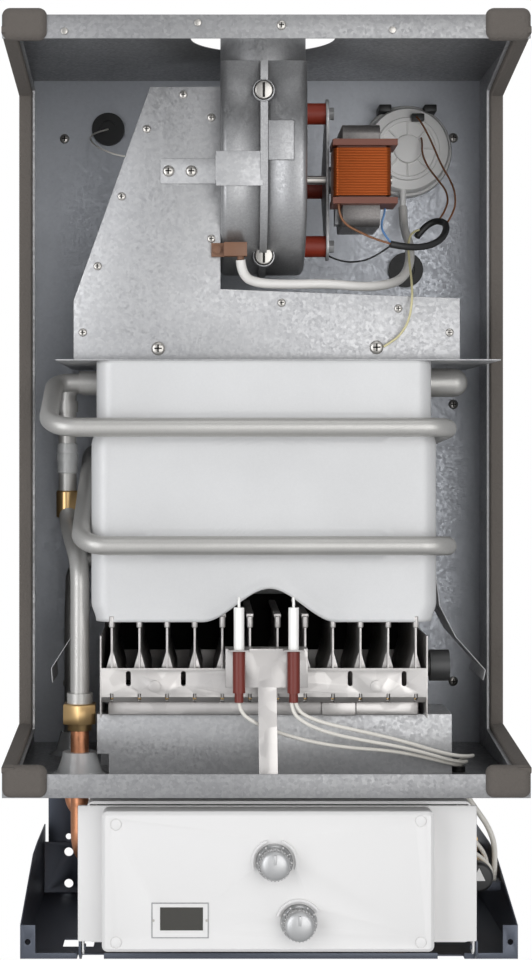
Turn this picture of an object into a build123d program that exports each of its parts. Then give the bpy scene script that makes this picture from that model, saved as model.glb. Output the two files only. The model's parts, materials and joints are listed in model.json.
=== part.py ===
from build123d import *
import math
import os

os.makedirs("parts", exist_ok=True)

# A fan-assisted wall-hung gas water heater with its casing and front cover off.
# Sizes are millimetres. X runs to the right and Z up, and the wall is the plane Y = 0, with the heater
# on its -Y side. Depths are measured forwards from the front face of the back panel, and heights
# from the underside of the lower frame. The origin lies on the wall, datum_height above that underside.
datum_height = 10.0

# Running and seating clearances
seat_gap = 0.3
pin_play = 0.08

# Rear frame
rail_depth = 12.0
rail_width = 37.0
rail_inset = 15.0
rail_sheet = 1.5
rail_lip = 8.0
rail_top_drop = 6.0
bar_height = 38.0
bar_drop = 10.0
hook_slot_width = 26.0
hook_slot_height = 12.0
hook_slot_spacing = 200.0
lower_bar_height = 18.8
bolt_radius = 4.4
locating_radius = 3.0
bolt_inset = 35.0
bolt_heights = (10.0, 41.0)
locating_height = 56.0

# Sealed chamber
sheet = 1.0
chamber_width = 440.0
chamber_floor = 148.0
chamber_height = 652.0
chamber_depth = 300.0
wall_depth = 140.0
wall_low_rise = 34.0
wall_high_drop = 35.0
lip_low_rise = 20.0
lip_high_drop = 9.0
wall_flange = 14.0
flange_height = 20.0
flue_hole_radius = 63.5

# Foam seal
seal_width = 12.5
seal_thickness = 5.5
seal_wrap = 38.0
seal_wrap_height = 22.0
seal_overhang = 6.0

# Lower frame
pan_sheet = 1.2
pan_half = 214.0
pan_shift = 4.0
pan_depth = 245.0
pan_back_height = 51.0
pan_side_height = 66.0
pan_side_flat = 73.0
pan_side_knee = 119.0
pan_knee_height = 64.0
pan_front_height = 29.0
pan_flange = 13.0
pan_lip = 5.0
hinge_depth = 250.0
hinge_height = 12.0
hinge_pin_radius = 2.5
hinge_ear = 1.5

# Combustion chamber shell and heat exchanger
shell_center = 0.5
shell_back = 65.0
shell_front = 228.0
shell_bottom = 288.0
shell_half_low = 151.0
shell_half_top = 146.5
shell_step_low = 442.0
shell_step_high = 458.0
shell_radius = 16.0
exchanger_top = 515.0
exchanger_height = 36.0
exchanger_gap = 0.5
fin_pitch = 12.0
fin_thickness = 4.0
port_depth = 150.0
port_height = 498.0
port_radius = 10.5
elbow_radius = 13.0
arch_center = 5.0
arch_half = 58.0
arch_height = 29.0
hem_width = 4.0
hem_thickness = 1.6

# Cooling coil
coil_radius = 8.25
coil_front = 243.0
coil_back = 48.0
coil_upper = 457.0
coil_lower = 355.0
coil_bulge = 187.0
coil_bend = 24.0

# Flue hood
plate_sheet = 1.2
hood_back = 60.0
hood_front_face = 215.0
hood_left = -166.0
hood_right = 172.0
hood_shoulder_left = 568.0
hood_shoulder_inner = 578.0
hood_shoulder_right = 570.0
hood_top = 755.0
hood_top_left = -99.0
plate_left = -181.0
plate_right = 206.0
flue_window_half = 132.0
hood_screw_radius = 3.5

# Fan
fan_depth = 155.0
fan_height = 681.0
scroll_radius = 86.0
fan_half = 37.5
fan_wall = 2.0
fan_edge = 5.0
neck_radius = 37.5
neck_wall = 1.5
neck_length = 33.0
suction_radius = 30.0
impeller_radius = 66.0
impeller_half = 24.0
impeller_blades = 18
blade_depth = 14.0
shaft_radius = 4.0
shaft_hole_radius = 5.0

# Fan motor
mount_pitch = 60.0
mount_radius = 9.6
mount_length = 20.5
motor_plate_sheet = 2.5
stator_left = 70.0
stator_right = 103.0
stator_back = 125.0
stator_front = 206.5
stator_low = 634.0
stator_high = 724.0
window_back = 174.0
window_low = 652.0
window_high = 709.0
leg_back = 188.5
rotor_radius = 16.6
rotor_gap = 0.4
bobbin_flange = 5.5
winding_turns = 10
wire_size = 3.4
winding_left = 60.9
winding_right = 112.0
winding_back = 176.0
winding_front = 219.0
winding_corner = 4.0

# Pressure switch and pressure tap
switch_x = 145.5
switch_height = 728.0
switch_radius = 44.5
switch_base = 14.0
switch_depth = 32.0
hose_diameter = 8.5

# Burner
bar_count = 12
bar_pitch = 24.0
bar_sheet = 1.8
bar_top = 295.0
bar_bottom = 222.0
bar_back = 76.0
bar_front = 228.0
bar_tip = 5.6
bar_tip_height = 7.0
bulge_half = 7.0
bulge_top = 262.0
channel_half = 141.0
channel_top = 248.0
channel_bottom = 219.0
channel_sheet = 1.2
side_plate_top = 276.0
manifold_height = 12.0
manifold_half = 136.0
manifold_back = 196.0
manifold_front = 212.0
injector_radius = 4.0
tray_top = 205.0
tray_left = -146.0
tray_right = 166.0
tray_back = 140.0
tray_front = 206.0
riser_x = 66.0
riser_radius = 9.0
riser_depth = 192.0
end_cap_radius = 13.7
end_cap_length = 21.0

# Electrodes
bracket_left = -33.5
bracket_right = 37.0
bracket_depth = 250.0
bracket_low = 234.0
bracket_high = 266.0
strip_half = 8.0
strip_center = 2.4
strip_foot = 286.0
electrode_places = (-22.0, 24.6)
ceramic_radius = 4.5
ceramic_top = 303.0
boot_radius = 5.4
boot_low = 222.0

# Water pipes on the left
pipe_radius = 8.35
nut_center_x = -162.0
nut_depth = 192.0
nut_low = 195.0
nut_high = 213.0
nut_width = 28.4
rear_pipe_x = -176.0
rear_pipe_depth = 70.0
supply_x = -179.0
supply_depth = 104.0
grommet_radius = 29.5
grommet_height = 21.0

# Control box
box_left = -151.0
box_right = 174.0
box_low = 22.0
box_high = 141.0
box_back = 215.0
box_front = 275.0
box_wall = 2.5
cover_left = -137.0
cover_right = 140.0
cover_low = 19.5
cover_high = 136.5
cover_front = 300.0
cover_edge = 3.0
dimple_radius = 5.0
dimple_places = ((-125.0, 126.0), (-125.0, 28.0), (128.5, 129.0), (128.5, 28.0))
knob_radius = 15.3
knob_depth = 20.0
knob_places = ((6.7, 95.0), (27.0, 45.0))
knob_shaft_radius = 3.0
guard_radius = 18.5
clip_top = 46.0
guard_arcs = ((knob_places[0], -20, 90), (knob_places[0], 110, 90), (knob_places[1], 30, 135))
display_left = -95.0
display_right = -48.0
display_low = 32.0
display_high = 60.5
bezel = 8.0

# Hidden water and gas parts
stub_pitch = 66.0
stub_radius = 9.0
stub_depth = 70.0
stub_drop = 12.0
pan_hole_radius = 15.0
valve_top = 118.0

half_width = chamber_width / 2
chamber_top = chamber_floor + chamber_height
panel_front = rail_depth + sheet
rail_x = half_width - rail_inset - rail_width / 2
floor_top = chamber_floor + sheet


def y_at(depth):
    return -(panel_front + depth)


def front(depth):
    """A plane that faces the front, a depth ahead of the back panel. Its axes are X and height."""
    return Plane(origin=(0, y_at(depth), -datum_height), x_dir=(1, 0, 0), z_dir=(0, -1, 0))


def side(x):
    """A plane that faces the right. Its axes are Y and height."""
    return Plane(origin=(x, 0, -datum_height), x_dir=(0, 1, 0), z_dir=(1, 0, 0))


def level(height):
    """A plane that faces up. Its axes are X and Y."""
    return Plane.XY.offset(height - datum_height)


def spot(x, depth, height):
    return Vector(x, y_at(depth), height - datum_height)


def block(x0, x1, d0, d1, z0, z1, mode=Mode.ADD):
    """A plain box between two widths, two depths and two heights."""
    with BuildSketch(level(z0)) as base:
        with Locations(((x0 + x1) / 2, (y_at(d0) + y_at(d1)) / 2)):
            Rectangle(x1 - x0, d1 - d0)
    extrude(base.sketch, amount=z1 - z0, mode=mode)


def disc(plane, u, v, radius, length, mode=Mode.ADD):
    """A round bar that stands on a plane."""
    with BuildSketch(plane) as base:
        with Locations((u, v)):
            Circle(radius)
    extrude(base.sketch, amount=length, mode=mode)


def polygon(plane, corners, length, mode=Mode.ADD):
    """A plate with straight sides that stands on a plane."""
    with BuildSketch(plane) as base:
        with BuildLine():
            Polyline(*corners, close=True)
        make_face()
    extrude(base.sketch, amount=length, mode=mode)


def depth_profile(points):
    """Turns points given as depth and height into the Y and height of a side plane."""
    return [(y_at(depth), height) for depth, height in points]


def bend_radii(route):
    """The radius of each bend: 0.45 of the shorter run beside it, over the tangent of half the turn."""
    runs = [after - before for before, after in zip(route, route[1:])]
    radii = []
    for before, after in zip(runs, runs[1:]):
        half_turn = math.radians(before.get_angle(after)) / 2
        radii.append(0.45 * min(before.length, after.length) / math.tan(half_turn))
    return radii


def cord(name, points, diameter, sides=6):
    """A cord along a route of (x, depth, height) points, as straight runs joined by tangent arcs."""
    route = [spot(*point) for point in points]
    radii = bend_radii(route)
    with BuildLine() as line:
        FilletPolyline(*route, radius=radii)
    with BuildSketch(Plane(origin=route[0], z_dir=route[1] - route[0])) as section:
        RegularPolygon(diameter / 2, sides)
    sweep(section.sketch, path=line.line)
    length = sum(edge.length for edge in line.edges())
    area = section.sketch.area
    print(name, "length", round(length), "radii", [round(r) for r in radii], "section x length", round(area * length))


def pipe(points, radius, bend, sides=0):
    """A pipe or bar along a route of (x, depth, height) points: round, or with a number of sides."""
    route = [spot(*point) for point in points]
    with BuildLine() as line:
        FilletPolyline(*route, radius=bend)
    with BuildSketch(Plane(origin=route[0], z_dir=route[1] - route[0])) as section:
        if sides:
            RegularPolygon(radius, sides)
        else:
            Circle(radius)
    sweep(section.sketch, path=line.line)


def finish(name, part):
    part.label = name
    export_step(part, f"parts/{name}.step")
    print(name, "solids", len(part.solids()), "volume", round(part.volume))


# Rear frame: two lipped rails and the two cross bars between them, welded to one piece

rail_top = chamber_top - rail_top_drop
bar_high = rail_top - bar_drop
bar_low = bar_high - bar_height
rail_inner = rail_x - rail_width / 2
bolt_x = half_width - bolt_inset
with BuildPart() as rear_frame:
    for x in (-rail_x, rail_x):
        with BuildSketch(level(pan_sheet)) as rail:
            with Locations((x, -rail_depth / 2)):
                Rectangle(rail_width, rail_depth)
                Rectangle(rail_width - 2 * rail_sheet, rail_depth - 2 * rail_sheet, mode=Mode.SUBTRACT)
            with Locations((x, -rail_sheet / 2)):
                Rectangle(rail_width - 2 * rail_lip, rail_sheet, mode=Mode.SUBTRACT)
        extrude(amount=rail_top - pan_sheet)
    block(-rail_inner, rail_inner, -panel_front, -panel_front + rail_depth, bar_low, bar_high)
    block(-rail_inner, rail_inner, -panel_front + rail_sheet, -panel_front + rail_depth - rail_sheet,
          bar_low + rail_sheet, bar_high - rail_sheet, Mode.SUBTRACT)
    block(-rail_inner, rail_inner, -panel_front, -panel_front + rail_sheet,
          bar_low + rail_lip, bar_high - rail_lip, Mode.SUBTRACT)
    for x in (-hook_slot_spacing / 2, hook_slot_spacing / 2):
        block(x - hook_slot_width / 2, x + hook_slot_width / 2, -sheet - rail_sheet, -sheet,
              bar_high - bar_height / 2, bar_high - bar_height / 2 + hook_slot_height, Mode.SUBTRACT)
    lower_bar_top = pan_sheet + lower_bar_height
    block(-rail_inner, rail_inner, -panel_front, -panel_front + rail_depth, pan_sheet, lower_bar_top)
    block(-rail_inner, rail_inner, -panel_front + rail_sheet, -panel_front + rail_depth,
          pan_sheet + rail_sheet, lower_bar_top - rail_sheet, Mode.SUBTRACT)
    for x in (-bolt_x, bolt_x):
        for height in bolt_heights:
            disc(front(-sheet - rail_sheet), x, height, bolt_radius, rail_sheet, Mode.SUBTRACT)
        disc(front(-sheet - rail_sheet), x, locating_height, locating_radius, rail_sheet, Mode.SUBTRACT)
finish("rear_frame", rear_frame.part)

# Back panel

switch_grommet = (-146.0, 751.0, 12.0)
sensor_grommet = (146.0, 613.0, 13.0)
with BuildPart() as back_panel:
    block(-half_width, half_width, -sheet, 0, chamber_floor, chamber_top)
    for x, height, radius in (switch_grommet, sensor_grommet):
        disc(front(-sheet), x, height, radius, sheet, Mode.SUBTRACT)
finish("back_panel", back_panel.part)

# Side walls: deep at the bottom and the top, where they flare out to the front flanges

flare_front = chamber_depth - sheet
wall_low = chamber_floor + wall_low_rise
wall_high = chamber_top - wall_high_drop
lip_low = chamber_floor + lip_low_rise
lip_high = chamber_top - lip_high_drop


def side_wall(x_outer, x_inner, x_flange):
    outline = [(0, chamber_floor), (flare_front, chamber_floor), (flare_front, lip_low), (wall_depth, wall_low),
               (wall_depth, wall_high), (flare_front, lip_high), (flare_front, chamber_top), (0, chamber_top)]
    edge = [(flare_front, lip_low), (wall_depth, wall_low), (wall_depth, wall_high), (flare_front, lip_high),
            (flare_front, lip_high + sheet), (wall_depth - sheet, wall_high + sheet),
            (wall_depth - sheet, wall_low - sheet), (flare_front, lip_low - sheet)]
    polygon(side(x_outer), depth_profile(outline), x_inner - x_outer)
    polygon(side(x_inner), depth_profile(edge), x_flange - x_inner)


with BuildPart() as side_wall_left:
    side_wall(-half_width, -half_width + sheet, -half_width + wall_flange)
finish("side_wall_left", side_wall_left.part)

with BuildPart() as side_wall_right:
    side_wall(half_width, half_width - sheet, half_width - wall_flange)
finish("side_wall_right", side_wall_right.part)

# Top and bottom panels with their front flanges

neck_depth = fan_depth + scroll_radius - neck_radius
wall_inner = half_width - sheet
with BuildPart() as top_panel:
    block(-wall_inner, wall_inner, 0, flare_front, chamber_top - sheet, chamber_top)
    block(-half_width, half_width, flare_front, chamber_depth, chamber_top - flange_height, chamber_top)
    disc(level(chamber_top - sheet), 0, y_at(neck_depth), flue_hole_radius, sheet, Mode.SUBTRACT)
finish("top_panel", top_panel.part)

cable_holes = ((156.0, 172.0), (175.5, 172.0))
cable_hole_radius = 5.0
pipe_places = ((nut_center_x, nut_depth), (rear_pipe_x, rear_pipe_depth))
pipe_hole_radius = 16.0
with BuildPart() as bottom_panel:
    block(-wall_inner, wall_inner, 0, flare_front, chamber_floor, floor_top)
    block(-half_width, half_width, flare_front, chamber_depth, chamber_floor, chamber_floor + flange_height)
    for x, depth in pipe_places:
        disc(level(chamber_floor), x, y_at(depth), pipe_hole_radius, sheet, Mode.SUBTRACT)
    for x, depth in cable_holes:
        disc(level(chamber_floor), x, y_at(depth), cable_hole_radius, sheet, Mode.SUBTRACT)
    disc(level(chamber_floor), riser_x, y_at(riser_depth), riser_radius + seat_gap, sheet, Mode.SUBTRACT)
finish("bottom_panel", bottom_panel.part)

# Foam seals: a strip along each side wall's flange, wrapped on to the front flanges at the corners


def foam_seal(x_outer, direction):
    x_inner = x_outer + direction * seal_width
    strip = [(flare_front, lip_low), (wall_depth, wall_low), (wall_depth, wall_high), (flare_front, lip_high),
             (flare_front, lip_high - seal_thickness), (wall_depth + seal_thickness, wall_high - seal_thickness),
             (wall_depth + seal_thickness, wall_low + seal_thickness), (flare_front, lip_low + seal_thickness)]
    polygon(side(x_outer), depth_profile(strip), x_inner - x_outer)
    x_wrap = x_outer + direction * seal_wrap
    x0, x1 = min(x_outer, x_wrap), max(x_outer, x_wrap)
    front_face = chamber_depth + seal_thickness
    block(x0, x1, chamber_depth, front_face, chamber_top - seal_wrap_height, chamber_top + seal_overhang)
    block(x0, x1, chamber_depth - 3 * seal_thickness, chamber_depth, chamber_top, chamber_top + seal_overhang)
    block(x0, x1, chamber_depth, front_face, chamber_floor, chamber_floor + seal_wrap_height + seal_overhang)
    block(min(x_outer, x_inner), max(x_outer, x_inner), flare_front, chamber_depth, lip_low + seal_gap_low,
          chamber_floor + seal_wrap_height + seal_overhang)


seal_gap_low = flange_height - lip_low_rise
with BuildPart() as seal_left:
    foam_seal(-half_width, 1)
finish("seal_left", seal_left.part)

with BuildPart() as seal_right:
    foam_seal(half_width, -1)
finish("seal_right", seal_right.part)

# Lower frame: pan, side plates, front flanges, back flange and the hinge brackets of the control box

pan_left = pan_shift - pan_half
pan_right = pan_shift + pan_half
stub_places = [index * stub_pitch for index in range(-2, 3)]
pan_openings = ((-176.0, -149.0, 181.0, 208.0), (-161.0, -138.0, 232.0, pan_depth),
                (-128.0, -113.0, 233.0, 239.0), (125.0, 141.0, 229.0, 234.0), (149.0, 172.0, 236.0, pan_depth))
ear_left = box_left - 5.0
ear_right = box_right + 5.0
ear_gap = 1.0
with BuildPart() as lower_frame:
    block(pan_left, pan_right, -panel_front, pan_depth, 0, pan_sheet)
    side_outline = [(-panel_front, 0), (pan_depth, 0), (pan_depth, pan_front_height),
                    (pan_side_knee, pan_knee_height), (pan_side_flat, pan_side_height),
                    (-panel_front, pan_side_height)]
    polygon(side(pan_left), depth_profile(side_outline), pan_sheet)
    polygon(side(pan_right), depth_profile(side_outline), -pan_sheet)
    block(pan_left, pan_right, -sheet, -sheet + pan_sheet, pan_sheet, pan_back_height)
    for x in (-bolt_x, bolt_x):
        for height in bolt_heights:
            disc(front(-sheet), x, height, bolt_radius, pan_sheet, Mode.SUBTRACT)
    for x0, x1 in ((pan_left, pan_left + pan_flange), (pan_right - pan_flange, pan_right)):
        block(x0, x1, pan_depth - pan_sheet, pan_depth, 0, pan_front_height)
        disc(front(pan_depth - pan_sheet), (x0 + x1) / 2, pan_front_height / 2, 2.5, pan_sheet, Mode.SUBTRACT)
    block(pan_left, pan_right, pan_depth - pan_sheet, pan_depth, 0, pan_lip)
    block(pan_right - pan_sheet - 13, pan_right - pan_sheet, 138, 154, clip_top - 8, clip_top)
    for x0, x1, d0, d1 in pan_openings:
        block(x0, x1, d0, d1, 0, pan_lip, Mode.SUBTRACT)
    for x in stub_places:
        disc(level(0), x, y_at(stub_depth), pan_hole_radius, pan_sheet, Mode.SUBTRACT)
    for x, inward in ((ear_left - ear_gap, 1), (ear_right + ear_gap, -1)):
        outline = [(pan_depth - 22, 0), (pan_depth, 0), (hinge_depth + 6, hinge_height - 6),
                   (hinge_depth + 6, hinge_height + 6), (pan_depth - 10, hinge_height + 6)]
        polygon(side(x), depth_profile(outline), -inward * 2.0)
        disc(side(x), y_at(hinge_depth), hinge_height, hinge_pin_radius, inward * (ear_gap + hinge_ear + 1.5))
finish("lower_frame", lower_frame.part)

# Combustion chamber shell


def shell_body(inset, mode=Mode.ADD):
    """The upright, four-walled shell, drawn in by inset from its outer faces."""
    middle = (y_at(shell_back) + y_at(shell_front)) / 2
    thickness = shell_front - shell_back - 2 * inset
    sections = []
    for height, half in ((shell_bottom, shell_half_low), (shell_step_low, shell_half_low),
                         (shell_step_high, shell_half_top), (exchanger_top, shell_half_top)):
        with BuildSketch(level(height)) as section:
            with Locations((shell_center, middle)):
                RectangleRounded(2 * (half - inset), thickness, shell_radius - inset)
        sections.append(section.sketch)
    extrude(sections[0], amount=shell_step_low - shell_bottom, mode=mode)
    loft([sections[1], sections[2]], mode=mode)
    extrude(sections[2], amount=exchanger_top - shell_step_high, mode=mode)


def arch(grow, thickness, from_depth, mode):
    """The opening at the foot of the front wall, with hollow shoulders and a round top."""
    rise = arch_height + grow
    half = arch_half + grow
    base = shell_bottom
    with BuildSketch(front(from_depth)) as opening:
        with BuildLine():
            Bezier((arch_center - half, base), (arch_center - 0.55 * half, base),
                   (arch_center - 0.6 * half, base + rise), (arch_center, base + rise))
            Bezier((arch_center, base + rise), (arch_center + 0.6 * half, base + rise),
                   (arch_center + 0.55 * half, base), (arch_center + half, base))
            Line((arch_center + half, base), (arch_center - half, base))
        make_face()
    extrude(opening.sketch, amount=thickness, mode=mode)


bead_height = coil_front - coil_radius - seat_gap - shell_front
bead_left = -104.0
bead_right = 112.0
with BuildPart() as chamber_shell:
    shell_body(0)
    shell_body(sheet, Mode.SUBTRACT)
    for height in (coil_upper, coil_lower):
        with BuildSketch(front(shell_front)) as bead:
            with Locations(((bead_left + bead_right) / 2, height)):
                SlotOverall(bead_right - bead_left, 26)
        extrude(bead.sketch, amount=bead_height, taper=30)
    arch(hem_width, hem_thickness, shell_front, Mode.ADD)
    arch(0, sheet + hem_thickness + 20, shell_front - sheet - 10, Mode.SUBTRACT)
    disc(side(shell_center - shell_half_low), y_at(port_depth), port_height, port_radius + seat_gap, 20, Mode.SUBTRACT)
    disc(side(shell_center + shell_half_low), y_at(port_depth), port_height, elbow_radius + seat_gap, -20,
         Mode.SUBTRACT)
    disc(side(shell_center - shell_half_low), y_at(supply_depth), port_height, port_radius + seat_gap, 20,
         Mode.SUBTRACT)
finish("chamber_shell", chamber_shell.part)

# Heat exchanger: finned core and its ports

core_half = shell_half_top - sheet - exchanger_gap
core_left = shell_center - core_half
core_right = shell_center + core_half
core_back = shell_back + sheet + exchanger_gap
core_front = shell_front - sheet - exchanger_gap
core_bottom = exchanger_top - exchanger_height
ferrule_end = -165.0
elbow_end = 187.0
with BuildPart() as exchanger:
    with BuildSketch(level(core_bottom)) as core:
        with Locations((shell_center, (y_at(core_back) + y_at(core_front)) / 2)):
            RectangleRounded(2 * core_half, core_front - core_back, shell_radius - sheet - exchanger_gap)
    extrude(core.sketch, amount=exchanger_height)
    fin_slots = int((2 * core_half - 2 * shell_radius) / fin_pitch)
    for index in range(fin_slots):
        x = shell_center + (index - (fin_slots - 1) / 2) * fin_pitch
        block(x - (fin_pitch - fin_thickness) / 2, x + (fin_pitch - fin_thickness) / 2, core_back + 12, core_front - 12,
              core_bottom, exchanger_top - 6, Mode.SUBTRACT)
    disc(side(ferrule_end), y_at(port_depth), port_height, port_radius, core_left - ferrule_end)
    disc(side(ferrule_end), y_at(supply_depth), port_height, port_radius, core_left - ferrule_end)
    disc(side(core_right), y_at(port_depth), port_height, elbow_radius, elbow_end - elbow_radius - core_right)
    with Locations(spot(elbow_end - elbow_radius, port_depth, port_height)):
        Sphere(elbow_radius)
finish("exchanger", exchanger.part)

# Cooling coil: one pipe round the shell, from the exchanger's left port down to the floor

coil_side = shell_half_low + coil_radius + seat_gap
coil_left = shell_center - coil_side
coil_right = shell_center + coil_side
coil_rear_height = 438.0
coil_foot = floor_top + seat_gap
with BuildPart() as cooling_coil:
    pipe([(ferrule_end, port_depth, port_height), (-coil_bulge, port_depth, port_height),
          (-coil_bulge, coil_front, coil_upper), (coil_right, coil_front, coil_upper),
          (coil_right, coil_back, coil_rear_height + 8), (coil_left, coil_back, coil_rear_height),
          (coil_left, coil_front, coil_lower), (coil_right, coil_front, coil_lower),
          (coil_right, coil_back, coil_lower - 12), (rear_pipe_x, coil_back, coil_lower - 22),
          (rear_pipe_x, rear_pipe_depth, coil_lower - 80), (rear_pipe_x, rear_pipe_depth, coil_foot)],
         coil_radius, [14.0] + [coil_bend] * 8 + [20.0])
finish("cooling_coil", cooling_coil.part)

# Flue hood: base plate, body and front plate

plate_top = exchanger_top + plate_sheet
hood_plate_front = shell_front
hood_outline = [(hood_top_left, hood_top), (-fan_half, hood_top), (-fan_half, hood_shoulder_inner),
                (hood_right, hood_shoulder_right), (hood_right, plate_top), (hood_left, plate_top),
                (hood_left, hood_shoulder_left)]
with BuildPart() as hood_base_plate:
    block(plate_left, plate_right, 0, hood_plate_front, exchanger_top, plate_top)
    block(-flue_window_half, flue_window_half, hood_back + 15, hood_front_face - 15, exchanger_top, plate_top,
          Mode.SUBTRACT)
finish("hood_base_plate", hood_base_plate.part)

hood_body_front = hood_front_face - sheet
with BuildPart() as hood_shell:
    with BuildSketch(front(hood_back)) as back_wall:
        with BuildLine():
            Polyline(*hood_outline, close=True)
        make_face()
    extrude(back_wall.sketch, amount=hood_body_front - hood_back)
    with BuildSketch(front(hood_back + sheet)) as hollow:
        with BuildLine():
            Polyline(*hood_outline, close=True)
        make_face()
        offset(amount=-sheet, kind=Kind.INTERSECTION)
    extrude(hollow.sketch, amount=hood_body_front - hood_back - sheet, mode=Mode.SUBTRACT)
    block(-flue_window_half, flue_window_half, hood_back + 15, hood_front_face - 15, plate_top, plate_top + sheet,
          Mode.SUBTRACT)
    disc(side(-fan_half), y_at(fan_depth), fan_height, suction_radius, -sheet, Mode.SUBTRACT)
finish("hood_shell", hood_shell.part)

with BuildPart() as hood_front:
    polygon(front(hood_body_front), hood_outline, sheet)
finish("hood_front", hood_front.part)

# Fan housing: two half shells that meet at a seam, and the outlet neck on top of them

housing_top = fan_height + scroll_radius + 6.0


def scroll_half(direction):
    """One half of the housing, from the seam outwards, hollow and open at the seam."""
    with BuildSketch(side(0)) as outline:
        with Locations((y_at(fan_depth), fan_height)):
            Circle(scroll_radius)
        with Locations((y_at(neck_depth), (fan_height + housing_top) / 2)):
            Rectangle(2 * neck_radius, housing_top - fan_height)
    extrude(outline.sketch, amount=direction * fan_half)
    outer_face = faces().sort_by(Axis.X)[-1 if direction > 0 else 0]
    chamfer(outer_face.edges(), fan_edge)


def scroll_hollow(direction):
    with BuildSketch(side(0)) as inner:
        with Locations((y_at(fan_depth), fan_height)):
            Circle(scroll_radius - fan_wall)
        with Locations((y_at(neck_depth), (fan_height + housing_top) / 2)):
            Rectangle(2 * (neck_radius - fan_wall), housing_top - fan_height - 2 * fan_wall)
    extrude(inner.sketch, amount=direction * (fan_half - fan_wall), taper=4, mode=Mode.SUBTRACT)


def housing(direction):
    scroll_half(direction)
    scroll_hollow(direction)
    disc(level(housing_top - 2 * fan_wall), 0, y_at(neck_depth), neck_radius - fan_wall - fan_edge / 2, 3 * fan_wall,
         Mode.SUBTRACT)


seam_half = 5.5
seam_proud = 2.0
with BuildPart() as fan_housing_left:
    housing(-1)
    disc(side(-fan_half), y_at(fan_depth), fan_height, suction_radius, 2 * fan_wall, Mode.SUBTRACT)
finish("fan_housing_left", fan_housing_left.part)

with BuildPart() as fan_housing_right:
    housing(1)
    disc(side(fan_half), y_at(fan_depth), fan_height, shaft_hole_radius, -2 * fan_wall, Mode.SUBTRACT)
    block(6, 26, fan_depth + scroll_radius - 0.5, fan_depth + scroll_radius + 2, 688, 721)
finish("fan_housing_right", fan_housing_right.part)

neck_bore = neck_radius - neck_wall
with BuildPart() as fan_outlet:
    with BuildSketch(level(housing_top)) as neck:
        with Locations((0, y_at(neck_depth))):
            Circle(neck_radius)
            Circle(neck_bore, mode=Mode.SUBTRACT)
    extrude(amount=neck_length)
finish("fan_outlet", fan_outlet.part)

# Strap bracket from the hood to the front of the housing

strap_low = 665.0
strap_high = 695.0
strap_sheet = 1.2
housing_front = fan_depth + scroll_radius
with BuildPart() as fan_bracket:
    block(-90, -41, hood_front_face, hood_front_face + strap_sheet, strap_low + 5, strap_high - 3)
    block(-42, -fan_half - 2, hood_front_face, housing_front + strap_sheet, strap_low + 5, strap_high - 3)
    block(-fan_half - 4, -1, housing_front, housing_front + strap_sheet, strap_low, strap_high)
finish("fan_bracket", fan_bracket.part)

# Impeller and the shaft that carries it and the motor's rotor

with BuildPart() as impeller:
    disc(side(-impeller_half), y_at(fan_depth), fan_height, impeller_radius, 1.5)
    with BuildSketch(side(impeller_half)) as rear_disc:
        with Locations((y_at(fan_depth), fan_height)):
            Circle(impeller_radius)
            Circle(shaft_radius, mode=Mode.SUBTRACT)
    extrude(rear_disc.sketch, amount=-1.5)
    disc(side(-impeller_half), y_at(fan_depth), fan_height, suction_radius + 6, 1.5, Mode.SUBTRACT)
    with BuildSketch(side(-impeller_half + 1.5)) as blades:
        with Locations((y_at(fan_depth), fan_height)):
            with PolarLocations(impeller_radius - 1 - blade_depth / 2, impeller_blades):
                Rectangle(blade_depth, 2, rotation=28)
    extrude(blades.sketch, amount=2 * impeller_half - 3)
    with BuildSketch(side(impeller_half - 1.5)) as hub:
        with Locations((y_at(fan_depth), fan_height)):
            Circle(shaft_radius + 5)
            Circle(shaft_radius, mode=Mode.SUBTRACT)
    extrude(hub.sketch, amount=-14)
finish("impeller", impeller.part)

shaft_left = impeller_half - 16.0
shaft_right = 118.0
with BuildPart() as rotor_shaft:
    disc(side(shaft_left), y_at(fan_depth), fan_height, shaft_radius, shaft_right - shaft_left)
    disc(side(stator_left + 1), y_at(fan_depth), fan_height, rotor_radius, stator_right - stator_left - 2)
finish("rotor_shaft", rotor_shaft.part)

# Motor: rubber mounts, mount plate, bearing brackets, stator, bobbin and winding

mount_places = ((fan_depth, fan_height + mount_pitch), (fan_depth, fan_height - mount_pitch),
                (fan_depth - mount_pitch, fan_height))
with BuildPart() as rubber_mounts:
    for depth, height in mount_places:
        disc(side(fan_half), y_at(depth), height, mount_radius, mount_length)
finish("rubber_mounts", rubber_mounts.part)

mount_plate_left = fan_half + mount_length
mount_plate_right = mount_plate_left + motor_plate_sheet
plate_margin = 13.0
with BuildPart() as motor_plate:
    with BuildSketch(side(mount_plate_left)) as plate:
        with Locations([(y_at(depth), height) for depth, height in mount_places]):
            Circle(plate_margin)
        make_hull()
        with Locations((y_at(fan_depth), fan_height)):
            Circle(shaft_hole_radius, mode=Mode.SUBTRACT)
    extrude(plate.sketch, amount=motor_plate_sheet)
    for depth, height in mount_places:
        with BuildSketch(side(mount_plate_right)) as nut:
            with Locations((y_at(depth), height)):
                RegularPolygon(6, 6)
        extrude(nut.sketch, amount=5)
finish("motor_plate", motor_plate.part)

bearing_hole = shaft_radius + pin_play
coil_depth_low = winding_back - 1.5
with BuildPart() as bearing_brackets:
    for left, right, hub_end in ((stator_left - 4, stator_left, mount_plate_right),
                                 (stator_right, stator_right + 4, stator_right + 13)):
        block(left, right, fan_depth - 9, fan_depth + 9, stator_low + 6, stator_high - 6)
        disc(side(left if hub_end < left else right), y_at(fan_depth), fan_height, 12,
             hub_end - (left if hub_end < left else right))
    disc(side(mount_plate_right), y_at(fan_depth), fan_height, bearing_hole, 80, Mode.SUBTRACT)
finish("bearing_brackets", bearing_brackets.part)

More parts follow.
